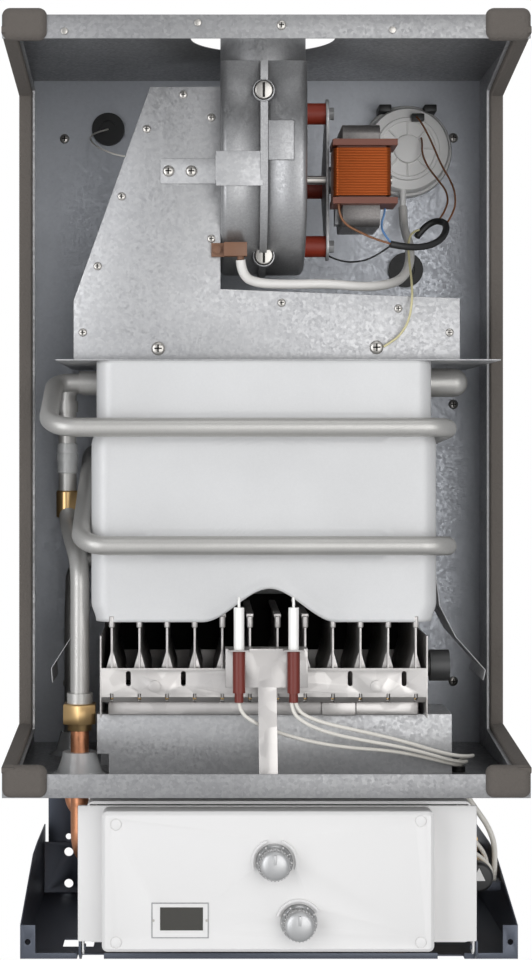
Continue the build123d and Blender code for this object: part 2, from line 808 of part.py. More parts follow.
with BuildPart() as stator_core:
    with BuildSketch(side(stator_left)) as lamination:
        with Locations(((y_at(stator_back) + y_at(stator_front)) / 2, (stator_low + stator_high) / 2)):
            RectangleRounded(stator_front - stator_back, stator_high - stator_low, 9)
        with Locations(((y_at(window_back) + y_at(leg_back)) / 2, (window_low + window_high) / 2)):
            Rectangle(leg_back - window_back, window_high - window_low, mode=Mode.SUBTRACT)
        with Locations((y_at(fan_depth), fan_height)):
            Circle(rotor_radius + rotor_gap, mode=Mode.SUBTRACT)
    extrude(lamination.sketch, amount=stator_right - stator_left)
finish("stator_core", stator_core.part)

bobbin_low = window_low + seat_gap
bobbin_high = window_high - seat_gap
winding_low = bobbin_low + bobbin_flange
winding_high = bobbin_high - bobbin_flange
core_inset = wire_size + 0.05
with BuildPart() as coil_bobbin:
    with BuildSketch(level(bobbin_low)) as former:
        with Locations(((winding_left + winding_right) / 2, (y_at(winding_back) + y_at(winding_front)) / 2)):
            RectangleRounded(winding_right - winding_left - 2 * core_inset,
                             winding_front - winding_back - 2 * core_inset, winding_corner - wire_size / 2)
    extrude(former.sketch, amount=bobbin_high - bobbin_low)
    for low in (bobbin_low, winding_high):
        block(winding_left - 0.3, winding_right + 5, coil_depth_low, winding_front + 2, low, low + bobbin_flange)
    block(stator_left - seat_gap, stator_right + seat_gap, leg_back - seat_gap, stator_front + seat_gap,
          bobbin_low, bobbin_high, Mode.SUBTRACT)
finish("coil_bobbin", coil_bobbin.part)

# The winding is one unbroken wire: flat turns that climb to the next one behind the core
wire_inset = wire_size / 2
wire_x0 = winding_left + wire_inset
wire_x1 = winding_right - wire_inset
wire_d0 = winding_back + wire_inset
wire_d1 = winding_front - wire_inset
pitch = (winding_high - winding_low - wire_size - 1.0) / winding_turns
first_turn = winding_low + 0.5 + wire_inset
corner_cut = winding_corner * (1 - math.cos(math.radians(45)))
climb_run = wire_x1 - wire_x0 - 2 * winding_corner
climb_radius = (climb_run ** 2 + pitch ** 2) / (4 * pitch)
climb_angle = math.atan(pitch / climb_run)
climb_x = climb_radius * math.sin(climb_angle)
climb_z = climb_radius * (1 - math.cos(climb_angle))
winding_points = []
with BuildPart() as coil_winding:
    with BuildLine() as wire:
        for turn in range(winding_turns):
            z = first_turn + turn * pitch
            x0, x1, d0, d1, r = wire_x0, wire_x1, wire_d0, wire_d1, winding_corner
            Line(spot(x0, d0 + r, z), spot(x0, d1 - r, z))
            ThreePointArc(spot(x0, d1 - r, z), spot(x0 + corner_cut, d1 - corner_cut, z), spot(x0 + r, d1, z))
            Line(spot(x0 + r, d1, z), spot(x1 - r, d1, z))
            ThreePointArc(spot(x1 - r, d1, z), spot(x1 - corner_cut, d1 - corner_cut, z), spot(x1, d1 - r, z))
            Line(spot(x1, d1 - r, z), spot(x1, d0 + r, z))
            ThreePointArc(spot(x1, d0 + r, z), spot(x1 - corner_cut, d0 + corner_cut, z), spot(x1 - r, d0, z))
            ThreePointArc(spot(x1 - r, d0, z), spot(x1 - r - climb_x, d0, z + climb_z),
                          spot((x0 + x1) / 2, d0, z + pitch / 2))
            ThreePointArc(spot((x0 + x1) / 2, d0, z + pitch / 2), spot(x0 + r + climb_x, d0, z + pitch - climb_z),
                          spot(x0 + r, d0, z + pitch))
            ThreePointArc(spot(x0 + r, d0, z + pitch), spot(x0 + corner_cut, d0 + corner_cut, z + pitch),
                          spot(x0, d0 + r, z + pitch))
            winding_points.append(z)
        top_turn = first_turn + winding_turns * pitch
        Line(spot(wire_x0, wire_d0 + winding_corner, top_turn),
             spot(wire_x0, wire_d0 + winding_corner + 3 * wire_size, top_turn))
    with BuildSketch(Plane(origin=spot(wire_x0, wire_d0 + winding_corner, first_turn), x_dir=(1, 0, 0),
                           z_dir=(0, -1, 0))) as wire_section:
        Rectangle(wire_size, wire_size)
    sweep(wire_section.sketch, path=wire.line)
least_gap = min(after - before for before, after in zip(winding_points, winding_points[1:])) - wire_size
print("winding turns", winding_turns, "least gap to itself", round(least_gap, 2))
finish("coil_winding", coil_winding.part)

# Pressure switch on the back panel, with its hose nipple

nipple_radius = 3.0
switch_port = (141.0, 24.0, 672.0)
with BuildPart() as pressure_switch:
    disc(front(0), switch_x, switch_height, switch_radius, switch_base)
    disc(front(switch_base), switch_x, switch_height, switch_radius - 3, switch_depth - switch_base - 4)
    disc(front(switch_depth - 4), switch_x, switch_height, 25, 4)
    block(switch_x + 3, switch_x + 15, switch_depth - 4, switch_depth + 6, switch_height + 26, switch_height + 33)
    for x in (switch_x - 22, switch_x + 22):
        block(x - 6, x + 6, 0, switch_depth - 2, switch_height + 36, switch_height + 43)
    disc(level(switch_port[2]), switch_port[0], y_at(switch_port[1]), nipple_radius,
         switch_height - switch_radius + 4 - switch_port[2])
finish("pressure_switch", pressure_switch.part)

tap_x0 = -fan_half - 8.0
tap_x1 = -14.5
tap_low = 606.0
tap_high = 618.0
hose_start = (-20.0, 221.0, 603.0)
with BuildPart() as pressure_tap:
    block(tap_x0, tap_x1, hood_front_face, hood_front_face + 3, tap_low, tap_high)
    block(-fan_half + 3, tap_x1, hood_front_face, hood_front_face + 12, tap_low, tap_high)
    disc(front(hood_front_face + 3), -fan_half - 3, (tap_low + tap_high) / 2, 3.5, 2.5)
    disc(level(hose_start[2]), hose_start[0], y_at(hose_start[1]), nipple_radius, tap_low - hose_start[2])
finish("pressure_tap", pressure_tap.part)

hose_route = [(-20.0, 221.0, 603.0), (-19.0, 219.0, 591.0), (-8.0, 212.0, 583.5), (22.0, 203.0, 582.8),
              (58.0, 200.0, 584.0), (88.0, 192.0, 581.5), (112.0, 176.0, 584.5), (128.0, 152.0, 592.0),
              (138.0, 120.0, 608.0), (141.5, 88.0, 628.0), (140.0, 56.0, 645.0), (141.0, 30.0, 656.0),
              (141.0, 24.0, 672.0)]
with BuildPart() as pressure_hose:
    cord("pressure_hose", hose_route, hose_diameter, 8)
finish("pressure_hose", pressure_hose.part)

# Fan wiring: motor leads, switch leads, sleeve, earth lead and sensor lead
wiring_routes = (
    ("blue_lead", 2.0, [(109.5, 181.0, 652.3), (108.5, 181.5, 646.0), (105.5, 185.0, 638.0), (107.0, 192.0, 629.0),
                        (113.0, 203.5, 619.5)]),
    ("brown_lead", 2.0, [(66.0, 214.0, 652.3), (66.3, 214.2, 644.0), (72.0, 213.0, 634.5), (84.0, 211.0, 628.5),
                         (98.0, 207.0, 622.5), (113.0, 204.0, 618.5)]),
    ("black_lead", 1.6, [(60.5, 160.0, 612.0), (66.5, 166.0, 608.0), (80.0, 181.0, 604.0), (98.0, 196.0, 606.5),
                         (113.0, 204.5, 617.5)]),
    ("switch_lead_a", 1.8, [(153.0, 38.0, 757.5), (155.0, 43.5, 754.0), (160.5, 49.0, 743.0), (166.5, 58.0, 727.0),
                            (172.5, 73.0, 706.0), (180.0, 90.0, 688.0), (182.0, 108.0, 672.0),
                            (178.0, 126.0, 655.0), (169.0, 140.0, 643.0)]),
    ("switch_lead_b", 1.8, [(158.0, 32.0, 738.0), (158.5, 38.0, 733.0), (157.0, 46.0, 722.0), (161.0, 57.0, 707.0),
                            (169.0, 72.0, 693.0), (176.5, 90.0, 678.0), (174.0, 110.0, 661.0),
                            (163.0, 127.0, 647.0)]),
    ("sleeve", 6.2, [(112.0, 204.0, 618.5), (124.0, 202.0, 616.0), (144.0, 190.0, 617.0), (160.0, 172.0, 624.5),
                     (168.0, 152.0, 636.0), (169.0, 136.0, 645.0), (160.0, 124.0, 648.0), (150.0, 120.0, 641.0),
                     (144.0, 122.0, 633.0)]),
    ("earth_lead", 2.0, [(148.0, 121.0, 640.0), (139.5, 128.0, 638.0), (134.5, 138.0, 627.0), (133.5, 154.0, 612.0),
                         (132.5, 182.0, 593.0), (130.5, 209.0, 582.5), (129.5, 223.0, 569.0),
                         (127.0, 221.5, 550.0), (119.0, 219.5, 537.0), (110.0, 217.4, 530.5),
                         (105.2, 217.2, 527.5)]),
    ("sensor_lead", 1.6, [(-117.9, 150.0, 703.0), (-124.5, 130.0, 706.0), (-136.0, 98.0, 713.0),
                          (-149.0, 66.0, 722.0), (-159.0, 42.0, 731.0), (-163.5, 24.0, 740.0),
                          (-157.0, 11.0, 747.0), (-146.0, 3.0, 751.0)]),
)
with BuildPart() as fan_wiring:
    for lead, thickness, route in wiring_routes:
        cord(lead, route, thickness)
finish("fan_wiring", fan_wiring.part)

# Screws of the hood, the fan and the chamber

hood_screws = ((-70, 748), (-45.5, 728), (-102, 718), (-124, 659), (-45.5, 622), (-145, 598), (-158, 540),
               (16, 566), (118, 561), (163, 540))
hood_big_screws = ((-92, 526), (99, 527))
panel_screws = ((-189, 742), (193, 743), (193, 481), (193, 209), (-186, 207), (-188, 481))


def screw_head(depth, x, height, radius, thickness):
    """A hexagon head that stands on a face at this depth."""
    with BuildSketch(front(depth)) as head:
        with Locations((x, height)):
            RegularPolygon(radius, 6)
    extrude(head.sketch, amount=thickness)


with BuildPart() as sheet_screws:
    for x, height in hood_screws:
        screw_head(hood_front_face, x, height, hood_screw_radius, 2)
    for x, height in hood_big_screws:
        screw_head(hood_front_face, x, height, 6, 3)
    for x, height in panel_screws:
        screw_head(0, x, height, 4.7, 2.5)
    for x in (-83, -63):
        screw_head(hood_front_face + strap_sheet, x, fan_height, 5, 2.5)
    screw_head(chamber_depth, 12.6, chamber_top - 9, 4, 2)
finish("sheet_screws", sheet_screws.part)

# Burner: bars with folded edges, the frame that holds them, injectors and gas manifold


def burner_bar(x):
    """One stamped bar: a flat seam, a swollen mixing chamber at its foot and a forked flame edge."""
    half = bar_sheet / 2
    block(x - half, x + half, bar_back, bar_front, bar_bottom, shell_bottom - seat_gap)
    block(x - half, x + half, bar_back, tip_front, shell_bottom - seat_gap, bar_top - bar_tip_height)
    with BuildSketch(front(bar_back + 4)) as swell:
        with BuildLine():
            Polyline((x - half, bulge_top), (x - bulge_half, bulge_top - 22), (x - bulge_half, bar_bottom + 5),
                     (x - half, bar_bottom), (x + half, bar_bottom), (x + bulge_half, bar_bottom + 5),
                     (x + bulge_half, bulge_top - 22), (x + half, bulge_top), close=True)
        make_face()
    extrude(swell.sketch, amount=bar_front - bar_back - 10)
    with BuildSketch(front(bar_back)) as fork:
        with BuildLine():
            Polyline((x - half, bar_top - bar_tip_height), (x + half, bar_top - bar_tip_height),
                     (x + bar_tip / 2, bar_top), (x - bar_tip / 2, bar_top), close=True)
        make_face()
    extrude(fork.sketch, amount=tip_front - bar_back)


tip_front = shell_front - sheet - seat_gap
bar_places = [(index - (bar_count - 1) / 2) * bar_pitch for index in range(bar_count)]
with BuildPart() as burner_bars:
    for x in bar_places:
        burner_bar(x)
finish("burner_bars", burner_bars.part)

channel_depth = bar_front + seat_gap
slot_half = bar_sheet / 2 + 0.6
obround_places = (-117.5, -69.8, 74.9, 121.7)
frame_screws = (-94.7, 97.4)
with BuildPart() as burner_frame:
    front_profile = [(channel_depth, channel_top), (channel_depth + channel_sheet, channel_top),
                     (channel_depth + channel_sheet, channel_bottom + 4), (channel_depth - 3, channel_bottom - 1),
                     (channel_depth - 14, channel_bottom - 1), (channel_depth - 14, channel_bottom - 1 + channel_sheet),
                     (channel_depth - 3.5, channel_bottom - 1 + channel_sheet), (channel_depth, channel_bottom + 4.6)]
    polygon(side(-channel_half), depth_profile(front_profile), 2 * channel_half)
    for x in bar_places:
        block(x - slot_half, x + slot_half, channel_depth - 10, channel_depth + 2, channel_bottom - 2,
              channel_bottom + 7, Mode.SUBTRACT)
    for x in obround_places:
        with BuildSketch(front(channel_depth)) as obround:
            with Locations((x, 239)):
                SlotOverall(13, 4.3, rotation=90)
        extrude(obround.sketch, amount=channel_sheet, mode=Mode.SUBTRACT)
    for x in frame_screws:
        disc(front(channel_depth + channel_sheet), x, 232.5, 5, 2)
    block(-channel_half, channel_half, bar_back - seat_gap - channel_sheet, bar_back - seat_gap,
          channel_bottom, channel_top)
    for x0, x1 in ((-channel_half - channel_sheet, -channel_half), (channel_half, channel_half + channel_sheet)):
        block(x0, x1, bar_back - seat_gap - channel_sheet, channel_depth + channel_sheet, tray_top, side_plate_top)
finish("burner_frame", burner_frame.part)

manifold_middle = (manifold_back + manifold_front) / 2
manifold_top = tray_top + manifold_height
with BuildPart() as gas_manifold:
    block(-manifold_half, manifold_half, manifold_back, manifold_front, tray_top, manifold_top)
    block(riser_x - 15, riser_x + 15, riser_depth - 13, manifold_front + 4, tray_top, manifold_top)
    disc(level(valve_top), riser_x, y_at(riser_depth), riser_radius, tray_top - valve_top)
finish("gas_manifold", gas_manifold.part)

with BuildPart() as injectors:
    for x in bar_places:
        with BuildSketch(level(manifold_top)) as jet:
            with Locations((x, y_at(manifold_middle))):
                RegularPolygon(injector_radius, 6)
        extrude(jet.sketch, amount=bar_bottom - seat_gap - manifold_top)
finish("injectors", injectors.part)

with BuildPart() as burner_tray:
    block(tray_left, tray_right, tray_back, tray_front, tray_top - plate_sheet, tray_top)
    block(tray_left, tray_right, tray_front - plate_sheet, tray_front, floor_top, tray_top)
    block(tray_left, tray_right, tray_back, tray_back + plate_sheet, floor_top, tray_top)
    disc(level(tray_top - plate_sheet), riser_x, y_at(riser_depth), riser_radius + seat_gap, plate_sheet,
         Mode.SUBTRACT)
    disc(level(floor_top), nut_center_x, y_at(nut_depth), grommet_radius + seat_gap, grommet_height,
         Mode.SUBTRACT)
finish("burner_tray", burner_tray.part)

end_cap_left = channel_half + channel_sheet
with BuildPart() as burner_end_cap:
    disc(side(end_cap_left), y_at(205), 248, end_cap_radius - 4, end_cap_length - 4)
    disc(side(end_cap_left + 4), y_at(205), 248, end_cap_radius, end_cap_length - 4)
finish("burner_end_cap", burner_end_cap.part)

# Side deflectors: bent spring sheets from the foot of the shell to the side walls

deflector_back = 110.0
deflector_front = 200.0
deflector_left_front = 176.0
deflector_sheet = 0.8
deflector_left = [(shell_center - shell_half_low - 0.4, 322), (shell_center - shell_half_low - 0.4, 300),
                  (-188, 242), (-187, 229)]
deflector_right = [(shell_center + shell_half_low + 0.4, 330), (shell_center + shell_half_low + 4, 300),
                   (170, 272), (196, 243), (194, 234)]
with BuildPart() as side_deflectors:
    for points, outward, reach in ((deflector_left, -1, deflector_left_front), (deflector_right, 1, deflector_front)):
        thick = [(x + outward * deflector_sheet, z) for x, z in reversed(points)]
        polygon(front(deflector_back), points + thick, reach - deflector_back)
finish("side_deflectors", side_deflectors.part)

# Electrodes: bracket, ceramics with their rods, rubber boots and ignition cables

electrode_depth = bracket_depth + strap_sheet + boot_radius + seat_gap
with BuildPart() as electrode_bracket:
    block(bracket_left, bracket_right, bracket_depth, bracket_depth + strap_sheet, bracket_low, bracket_high)
    block(bracket_left, bracket_right, channel_depth + channel_sheet + 3, bracket_depth + strap_sheet,
          bracket_high, bracket_high + strap_sheet)
    for x in electrode_places:
        block(x - 9, x + 9, bracket_depth, electrode_depth + 8, bracket_high, bracket_high + strap_sheet)
        disc(level(bracket_high), x, y_at(electrode_depth), ceramic_radius + seat_gap, strap_sheet, Mode.SUBTRACT)
    strip = [(bracket_depth, bracket_low), (bracket_depth + strap_sheet, bracket_low),
             (strip_foot + strap_sheet, floor_top + 10), (strip_foot + strap_sheet, floor_top),
             (strip_foot - 12, floor_top), (strip_foot - 12, floor_top + strap_sheet),
             (strip_foot, floor_top + strap_sheet), (strip_foot, floor_top + 10)]
    polygon(side(strip_center - strip_half), depth_profile(strip), 2 * strip_half)
finish("electrode_bracket", electrode_bracket.part)

rod_radius = 1.2
with BuildPart() as electrodes:
    for x in electrode_places:
        disc(level(bracket_high), x, y_at(electrode_depth), ceramic_radius, ceramic_top - bracket_high)
        rod = [(x, electrode_depth, ceramic_top), (x, electrode_depth, ceramic_top + 9),
               (x, electrode_depth - 24, ceramic_top + 4)]
        pipe(rod, rod_radius, 3.0, 6)
finish("electrodes", electrodes.part)

with BuildPart() as electrode_boots:
    for x in electrode_places:
        disc(level(boot_low + 8), x, y_at(electrode_depth), boot_radius, bracket_high - boot_low - 8)
        disc(level(boot_low), x, y_at(electrode_depth), boot_radius - 1.6, 8)
finish("electrode_boots", electrode_boots.part)

cable_diameter = 3.2
ignition_routes = (
    [(-22.0, 257.1, 222.0), (-21.0, 257.5, 214.5), (-13.0, 257.0, 207.0), (3.0, 256.0, 199.0), (25.0, 253.0, 191.5),
     (50.0, 248.0, 185.0), (78.0, 242.0, 180.5), (104.0, 236.0, 178.0), (130.0, 229.0, 173.0), (154.0, 219.5, 166.0),
     (170.5, 208.0, 160.5), (176.5, 192.0, 158.8), (173.8, 177.5, 157.5), (173.2, 172.0, 153.5)],
    [(22.9, 257.1, 222.0), (23.6, 258.0, 215.0), (29.0, 259.5, 208.0), (42.0, 258.5, 200.5), (62.0, 254.0, 193.5),
     (88.0, 247.5, 187.5), (114.0, 239.5, 182.0), (140.0, 229.5, 174.5), (161.0, 219.0, 167.0),
     (176.5, 206.0, 162.5), (182.0, 190.5, 161.0), (179.3, 178.0, 158.5), (177.8, 172.0, 153.5)],
    [(26.4, 257.1, 222.0), (28.2, 256.3, 215.5), (36.0, 255.0, 209.5), (52.0, 252.5, 203.5), (74.0, 248.5, 198.0),
     (98.0, 242.0, 192.0), (124.0, 234.0, 184.5), (148.0, 225.5, 176.0), (168.0, 216.5, 170.0),
     (182.5, 204.0, 167.5), (188.0, 188.0, 166.0), (183.5, 174.5, 162.5), (176.8, 168.0, 158.5),
     (175.5, 167.6, 153.5)],
)
with BuildPart() as ignition_cables:
    for index, route in enumerate(ignition_routes):
        cord(f"ignition_cable_{index + 1}", route, cable_diameter)
finish("ignition_cables", ignition_cables.part)

# Supply pipe on the left, its union nut, and the clear grommets round both pipes

with BuildPart() as supply_pipe:
    pipe([(ferrule_end - 1, supply_depth, port_height), (supply_x, supply_depth, port_height),
          (supply_x, supply_depth, 372), (nut_center_x, nut_depth, 336), (nut_center_x, nut_depth, nut_high)],
         pipe_radius, [12.0, 30.0, 30.0])
    disc(level(472), supply_x, y_at(supply_depth), pipe_radius + 1.5, 10)
    disc(level(nut_high), nut_center_x, y_at(nut_depth), pipe_radius + 3, 9)
finish("supply_pipe", supply_pipe.part)

with BuildPart() as union_nut:
    with BuildSketch(level(nut_low)) as hexagon:
        with Locations((nut_center_x, y_at(nut_depth))):
            RegularPolygon(nut_width / math.sqrt(3), 6, rotation=30)
    extrude(hexagon.sketch, amount=nut_high - nut_low)
    chamfer(edges().group_by(Axis.Z)[-1], 1)
    disc(level(nut_low - 6), nut_center_x, y_at(nut_depth), pipe_radius + 2.5, 6)
finish("union_nut", union_nut.part)

def pipe_grommet(x, depth, radius, height):
    """A stepped, dished grommet on the floor round a pipe."""
    clear = pipe_radius + seat_gap
    with BuildSketch(Plane(origin=spot(x, depth, floor_top), x_dir=(1, 0, 0), z_dir=(0, -1, 0))) as half_section:
        with BuildLine():
            Polyline((clear, 0), (radius, 0), (0.7 * radius, 4), (0.6 * radius, 0.55 * height),
                     (0.5 * radius, height), (clear, height), close=True)
        make_face()
    revolve(half_section.sketch, axis=Axis(spot(x, depth, floor_top), (0, 0, 1)))


with BuildPart() as pipe_grommets:
    pipe_grommet(nut_center_x, nut_depth, grommet_radius, grommet_height)
    pipe_grommet(rear_pipe_x, rear_pipe_depth, 0.8 * grommet_radius, grommet_height)
finish("pipe_grommets", pipe_grommets.part)

# Black rubber grommets of the back panel and of the floor

with BuildPart() as rubber_grommets:
    for x, height, radius in (switch_grommet, sensor_grommet):
        disc(front(-sheet), x, height, radius - 0.05, sheet)
        disc(front(0), x, height, radius + 4, 5)
        disc(front(3), x, height, radius - 4, 2, Mode.SUBTRACT)
    for x, depth in cable_holes:
        disc(level(chamber_floor - 3), x, y_at(depth), cable_hole_radius + 2.5, 3)
        disc(level(chamber_floor), x, y_at(depth), cable_hole_radius - 0.05, sheet)
        disc(level(floor_top), x, y_at(depth), 6.7, 4.5)
finish("rubber_grommets", rubber_grommets.part)

# Hidden gas and water parts behind the control box

valve_x0 = riser_x - 38
valve_x1 = riser_x + 38
with BuildPart() as gas_valve:
    block(valve_x0, valve_x1, 142, 212, 45, 104)
    fillet(edges().filter_by(Axis.Z), 4)
    disc(level(104), riser_x, y_at(riser_depth), riser_radius, valve_top - 104)
    disc(level(104), riser_x - 20, y_at(165), 14, 22)
    disc(side(valve_x0), y_at(178), 72, 16, -14)
finish("gas_valve", gas_valve.part)

pump_x = -stub_pitch
with BuildPart() as pump:
    block(pump_x - 46, pump_x + 46, 52, 92, 44, 116)
    fillet(edges().filter_by(Axis.Y), 14)
    disc(front(92), pump_x, 80, 36, 52)
    disc(front(144), pump_x, 80, 24, 6)
    disc(level(44 - 6), pump_x, y_at(stub_depth), stub_radius + 5, 6)
finish("pump", pump.part)

plate_count = 8
with BuildPart() as plate_exchanger:
    for index in range(plate_count):
        inset = 1.5 if index % 2 else 0
        block(-16 + inset, 52 - inset, 50 + index * 5, 55 + index * 5, 48 + inset, 122 - inset)
    disc(level(40), 0, y_at(stub_depth), stub_radius + 3, 8)
finish("plate_exchanger", plate_exchanger.part)

tap_body_x = 190.5
tap_height = 60.0
tap_knob_back = 188.0
with BuildPart() as filling_valve:
    block(2 * stub_pitch - 14, tap_body_x + 14, 56, 92, 46, 76)
    fillet(edges().filter_by(Axis.Y), 4)
    disc(front(92), tap_body_x, tap_height, 9, tap_knob_back - 4 - 92)
    disc(front(92), tap_body_x, tap_height, 4, tap_knob_back + 6 - 92)
    disc(level(40), 2 * stub_pitch, y_at(stub_depth), stub_radius + 3, 6)
finish("filling_valve", filling_valve.part)

with BuildPart() as filling_knob:
    disc(front(tap_knob_back), tap_body_x, tap_height, 13, 14)
    chamfer(faces().sort_by(Axis.Y)[0].edges(), 2)
    disc(front(tap_knob_back), tap_body_x, tap_height, 4 + pin_play, 6 + seat_gap, Mode.SUBTRACT)
finish("filling_knob", filling_knob.part)

stub_tops = (44, 38, 40, 24, 40)
with BuildPart() as connection_pipes:
    for x, top in zip(stub_places, stub_tops):
        if x != riser_x:
            disc(level(-stub_drop), x, y_at(stub_depth), stub_radius, stub_drop - 1)
            disc(level(-1), x, y_at(stub_depth), stub_radius - 0.6, top + 1)
        with BuildSketch(level(pan_sheet)) as lock_nut:
            with Locations((x, y_at(stub_depth))):
                RegularPolygon(stub_radius + 10, 6)
        extrude(lock_nut.sketch, amount=10)
    pipe([(riser_x, stub_depth, -stub_drop), (riser_x, stub_depth, 26), (riser_x, 178, 26), (riser_x, 178, 45)],
         stub_radius, 14.0)
    pipe([(nut_center_x, nut_depth, nut_low - 6), (nut_center_x, nut_depth, 78.0),
          (-2 * stub_pitch, stub_depth, 62), (-2 * stub_pitch, stub_depth, 44)], pipe_radius - 0.3, [24.0, 15.0])
    pipe([(rear_pipe_x, rear_pipe_depth, chamber_floor - seat_gap), (rear_pipe_x, rear_pipe_depth, 92),
          (-112, rear_pipe_depth, 92)], pipe_radius - 0.3, [18.0])
finish("connection_pipes", connection_pipes.part)

# Control box: tray, cover, board, display and knobs

cable_window_x0 = 150.0
with BuildPart() as control_tray:
    block(box_left, box_right, box_back, box_front, box_low, box_high)
    fillet(edges().filter_by(Axis.Y), 6)
    block(box_left + box_wall, box_right - box_wall, box_back + box_wall, box_front, box_low + box_wall,
          box_high - box_wall, Mode.SUBTRACT)
    for x in (ear_left, ear_right):
        inward = 1 if x < 0 else -1
        with BuildSketch(side(x)) as ear:
            with BuildLine():
                Polyline(*depth_profile([(hinge_depth - 8, box_low + 8), (hinge_depth - 6, hinge_height - 3),
                                         (hinge_depth - 2, hinge_height - 6), (hinge_depth + 2, hinge_height - 6),
                                         (hinge_depth + 6, hinge_height - 3), (hinge_depth + 8, box_low + 8)]),
                         close=True)
            make_face()
        extrude(ear.sketch, amount=inward * hinge_ear)
        edge_x = box_left if x < 0 else box_right
        block(min(x, edge_x), max(x, edge_x), hinge_depth - 8, hinge_depth + 8, box_low + 6.5, box_low + 8)
        disc(side(x), y_at(hinge_depth), hinge_height, hinge_pin_radius + pin_play, inward * hinge_ear, Mode.SUBTRACT)
    block(box_left - 8, box_left, box_front - 20, box_front - 17, 30, 43)
finish("control_tray", control_tray.part)

with BuildPart() as control_cover:
    block(cover_left, cover_right, box_front, cover_front, cover_low, cover_high)
    fillet(edges().filter_by(Axis.Y), 5)
    chamfer(faces().sort_by(Axis.Y)[0].edges(), cover_edge)
    block(cover_left + box_wall, cover_right - box_wall, box_front, cover_front - box_wall, cover_low + box_wall,
          cover_high - box_wall, Mode.SUBTRACT)
    for x, height in dimple_places:
        disc(front(cover_front - 0.8), x, height, dimple_radius, 0.8, Mode.SUBTRACT)
        disc(front(cover_front - 0.8), x, height, dimple_radius - 0.8, 0.8)
    block(display_left + bezel, display_right - 4, cover_front - box_wall, cover_front, display_low + 5.5,
          display_high - 4.5, Mode.SUBTRACT)
    for x, height in knob_places:
        disc(front(cover_front - box_wall), x, height, knob_shaft_radius + seat_gap, box_wall, Mode.SUBTRACT)
    for (x, height), start, span in guard_arcs:
        with BuildSketch(front(cover_front)) as guard:
            with BuildLine():
                CenterArc((x, height), guard_radius + 1, start, span)
                CenterArc((x, height), guard_radius - 1, start, span)
                for angle in (math.radians(start), math.radians(start + span)):
                    Line((x + (guard_radius - 1) * math.cos(angle), height + (guard_radius - 1) * math.sin(angle)),
                         (x + (guard_radius + 1) * math.cos(angle), height + (guard_radius + 1) * math.sin(angle)))
            make_face()
        extrude(guard.sketch, amount=3)
finish("control_cover", control_cover.part)

with BuildPart() as display_window:
    block(display_left, display_right, cover_front, cover_front + 1, display_low, display_high)
    block(display_left + bezel, display_right - 4, cover_front, cover_front + 1, display_low + 5.5,
          display_high - 4.5, Mode.SUBTRACT)
    block(display_left + bezel, display_right - 4, cover_front - box_wall, cover_front, display_low + 5.5,
          display_high - 4.5)
finish("display_window", display_window.part)

board_back = box_back + box_wall + 8
with BuildPart() as control_board:
    block(box_left + box_wall + 4, box_right - box_wall - 4, board_back, board_back + 1.6, box_low + box_wall + 4,
          box_high - box_wall - 4)
    for x in (box_left + 14, box_right - 14):
        for height in (box_low + 14, box_high - 14):
            disc(front(box_back + box_wall), x, height, 4, board_back - box_back - box_wall)
    block(-60, 0, board_back + 1.6, board_back + 26, 70, 118)
    for x, height in knob_places:
        disc(front(board_back + 1.6), x, height, 9, cover_front - box_wall - 2 - board_back - 1.6)
        disc(front(cover_front - box_wall - 2), x, height, knob_shaft_radius + 2.5, 2 - seat_gap)
finish("control_board", control_board.part)


def turn_knob(x, height):
    """A round knob with a rounded rim, a raised pointer bar and a shaft that goes into the cover."""
    disc(front(cover_front + seat_gap), x, height, knob_radius, knob_depth - seat_gap)
    chamfer(faces().sort_by(Axis.Y)[0].edges(), 2.5)
    block(x - 1, x + 1, cover_front + knob_depth - 2, cover_front + knob_depth + 0.8, height + 2,
          height + knob_radius - 4)
    disc(front(cover_front - box_wall), x, height, knob_shaft_radius, box_wall + seat_gap)


with BuildPart() as knob_heating:
    turn_knob(*knob_places[0])
finish("knob_heating", knob_heating.part)

with BuildPart() as knob_water:
    turn_knob(*knob_places[1])
finish("knob_water", knob_water.part)

# Harness cables behind the right side of the control box, held by a clip at the pan

harness_routes = (
    ("harness_1", 5.0, [(175.5, 172.0, 145.0), (180.5, 171.0, 132.0), (192.0, 168.0, 115.0), (203.5, 163.0, 99.0),
                        (210.5, 157.0, 82.0), (212.0, 150.5, 64.0), (211.5, 146.0, clip_top)]),
    ("harness_2", 4.0, [(104.0, 170.0, 96.0), (132.0, 170.5, 100.0), (158.0, 169.5, 101.0), (176.0, 167.0, 96.5),
                        (190.5, 161.5, 86.5), (201.5, 154.0, 73.0), (206.0, 147.0, 59.0), (206.3, 143.0, clip_top)]),
    ("harness_3", 4.0, [(104.0, 184.0, 88.0), (134.0, 184.5, 90.5), (160.0, 183.5, 90.0), (178.0, 180.5, 84.0),
                        (193.0, 174.5, 75.0), (204.0, 165.0, 64.0), (208.3, 155.0, 54.5), (208.5, 150.5, clip_top)]),
)
with BuildPart() as harness_cables:
    for lead, thickness, route in harness_routes:
        cord(lead, route, thickness)
finish("harness_cables", harness_cables.part)
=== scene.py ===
import json
import math
import random

import bmesh
import bpy
from mathutils import Matrix, Vector


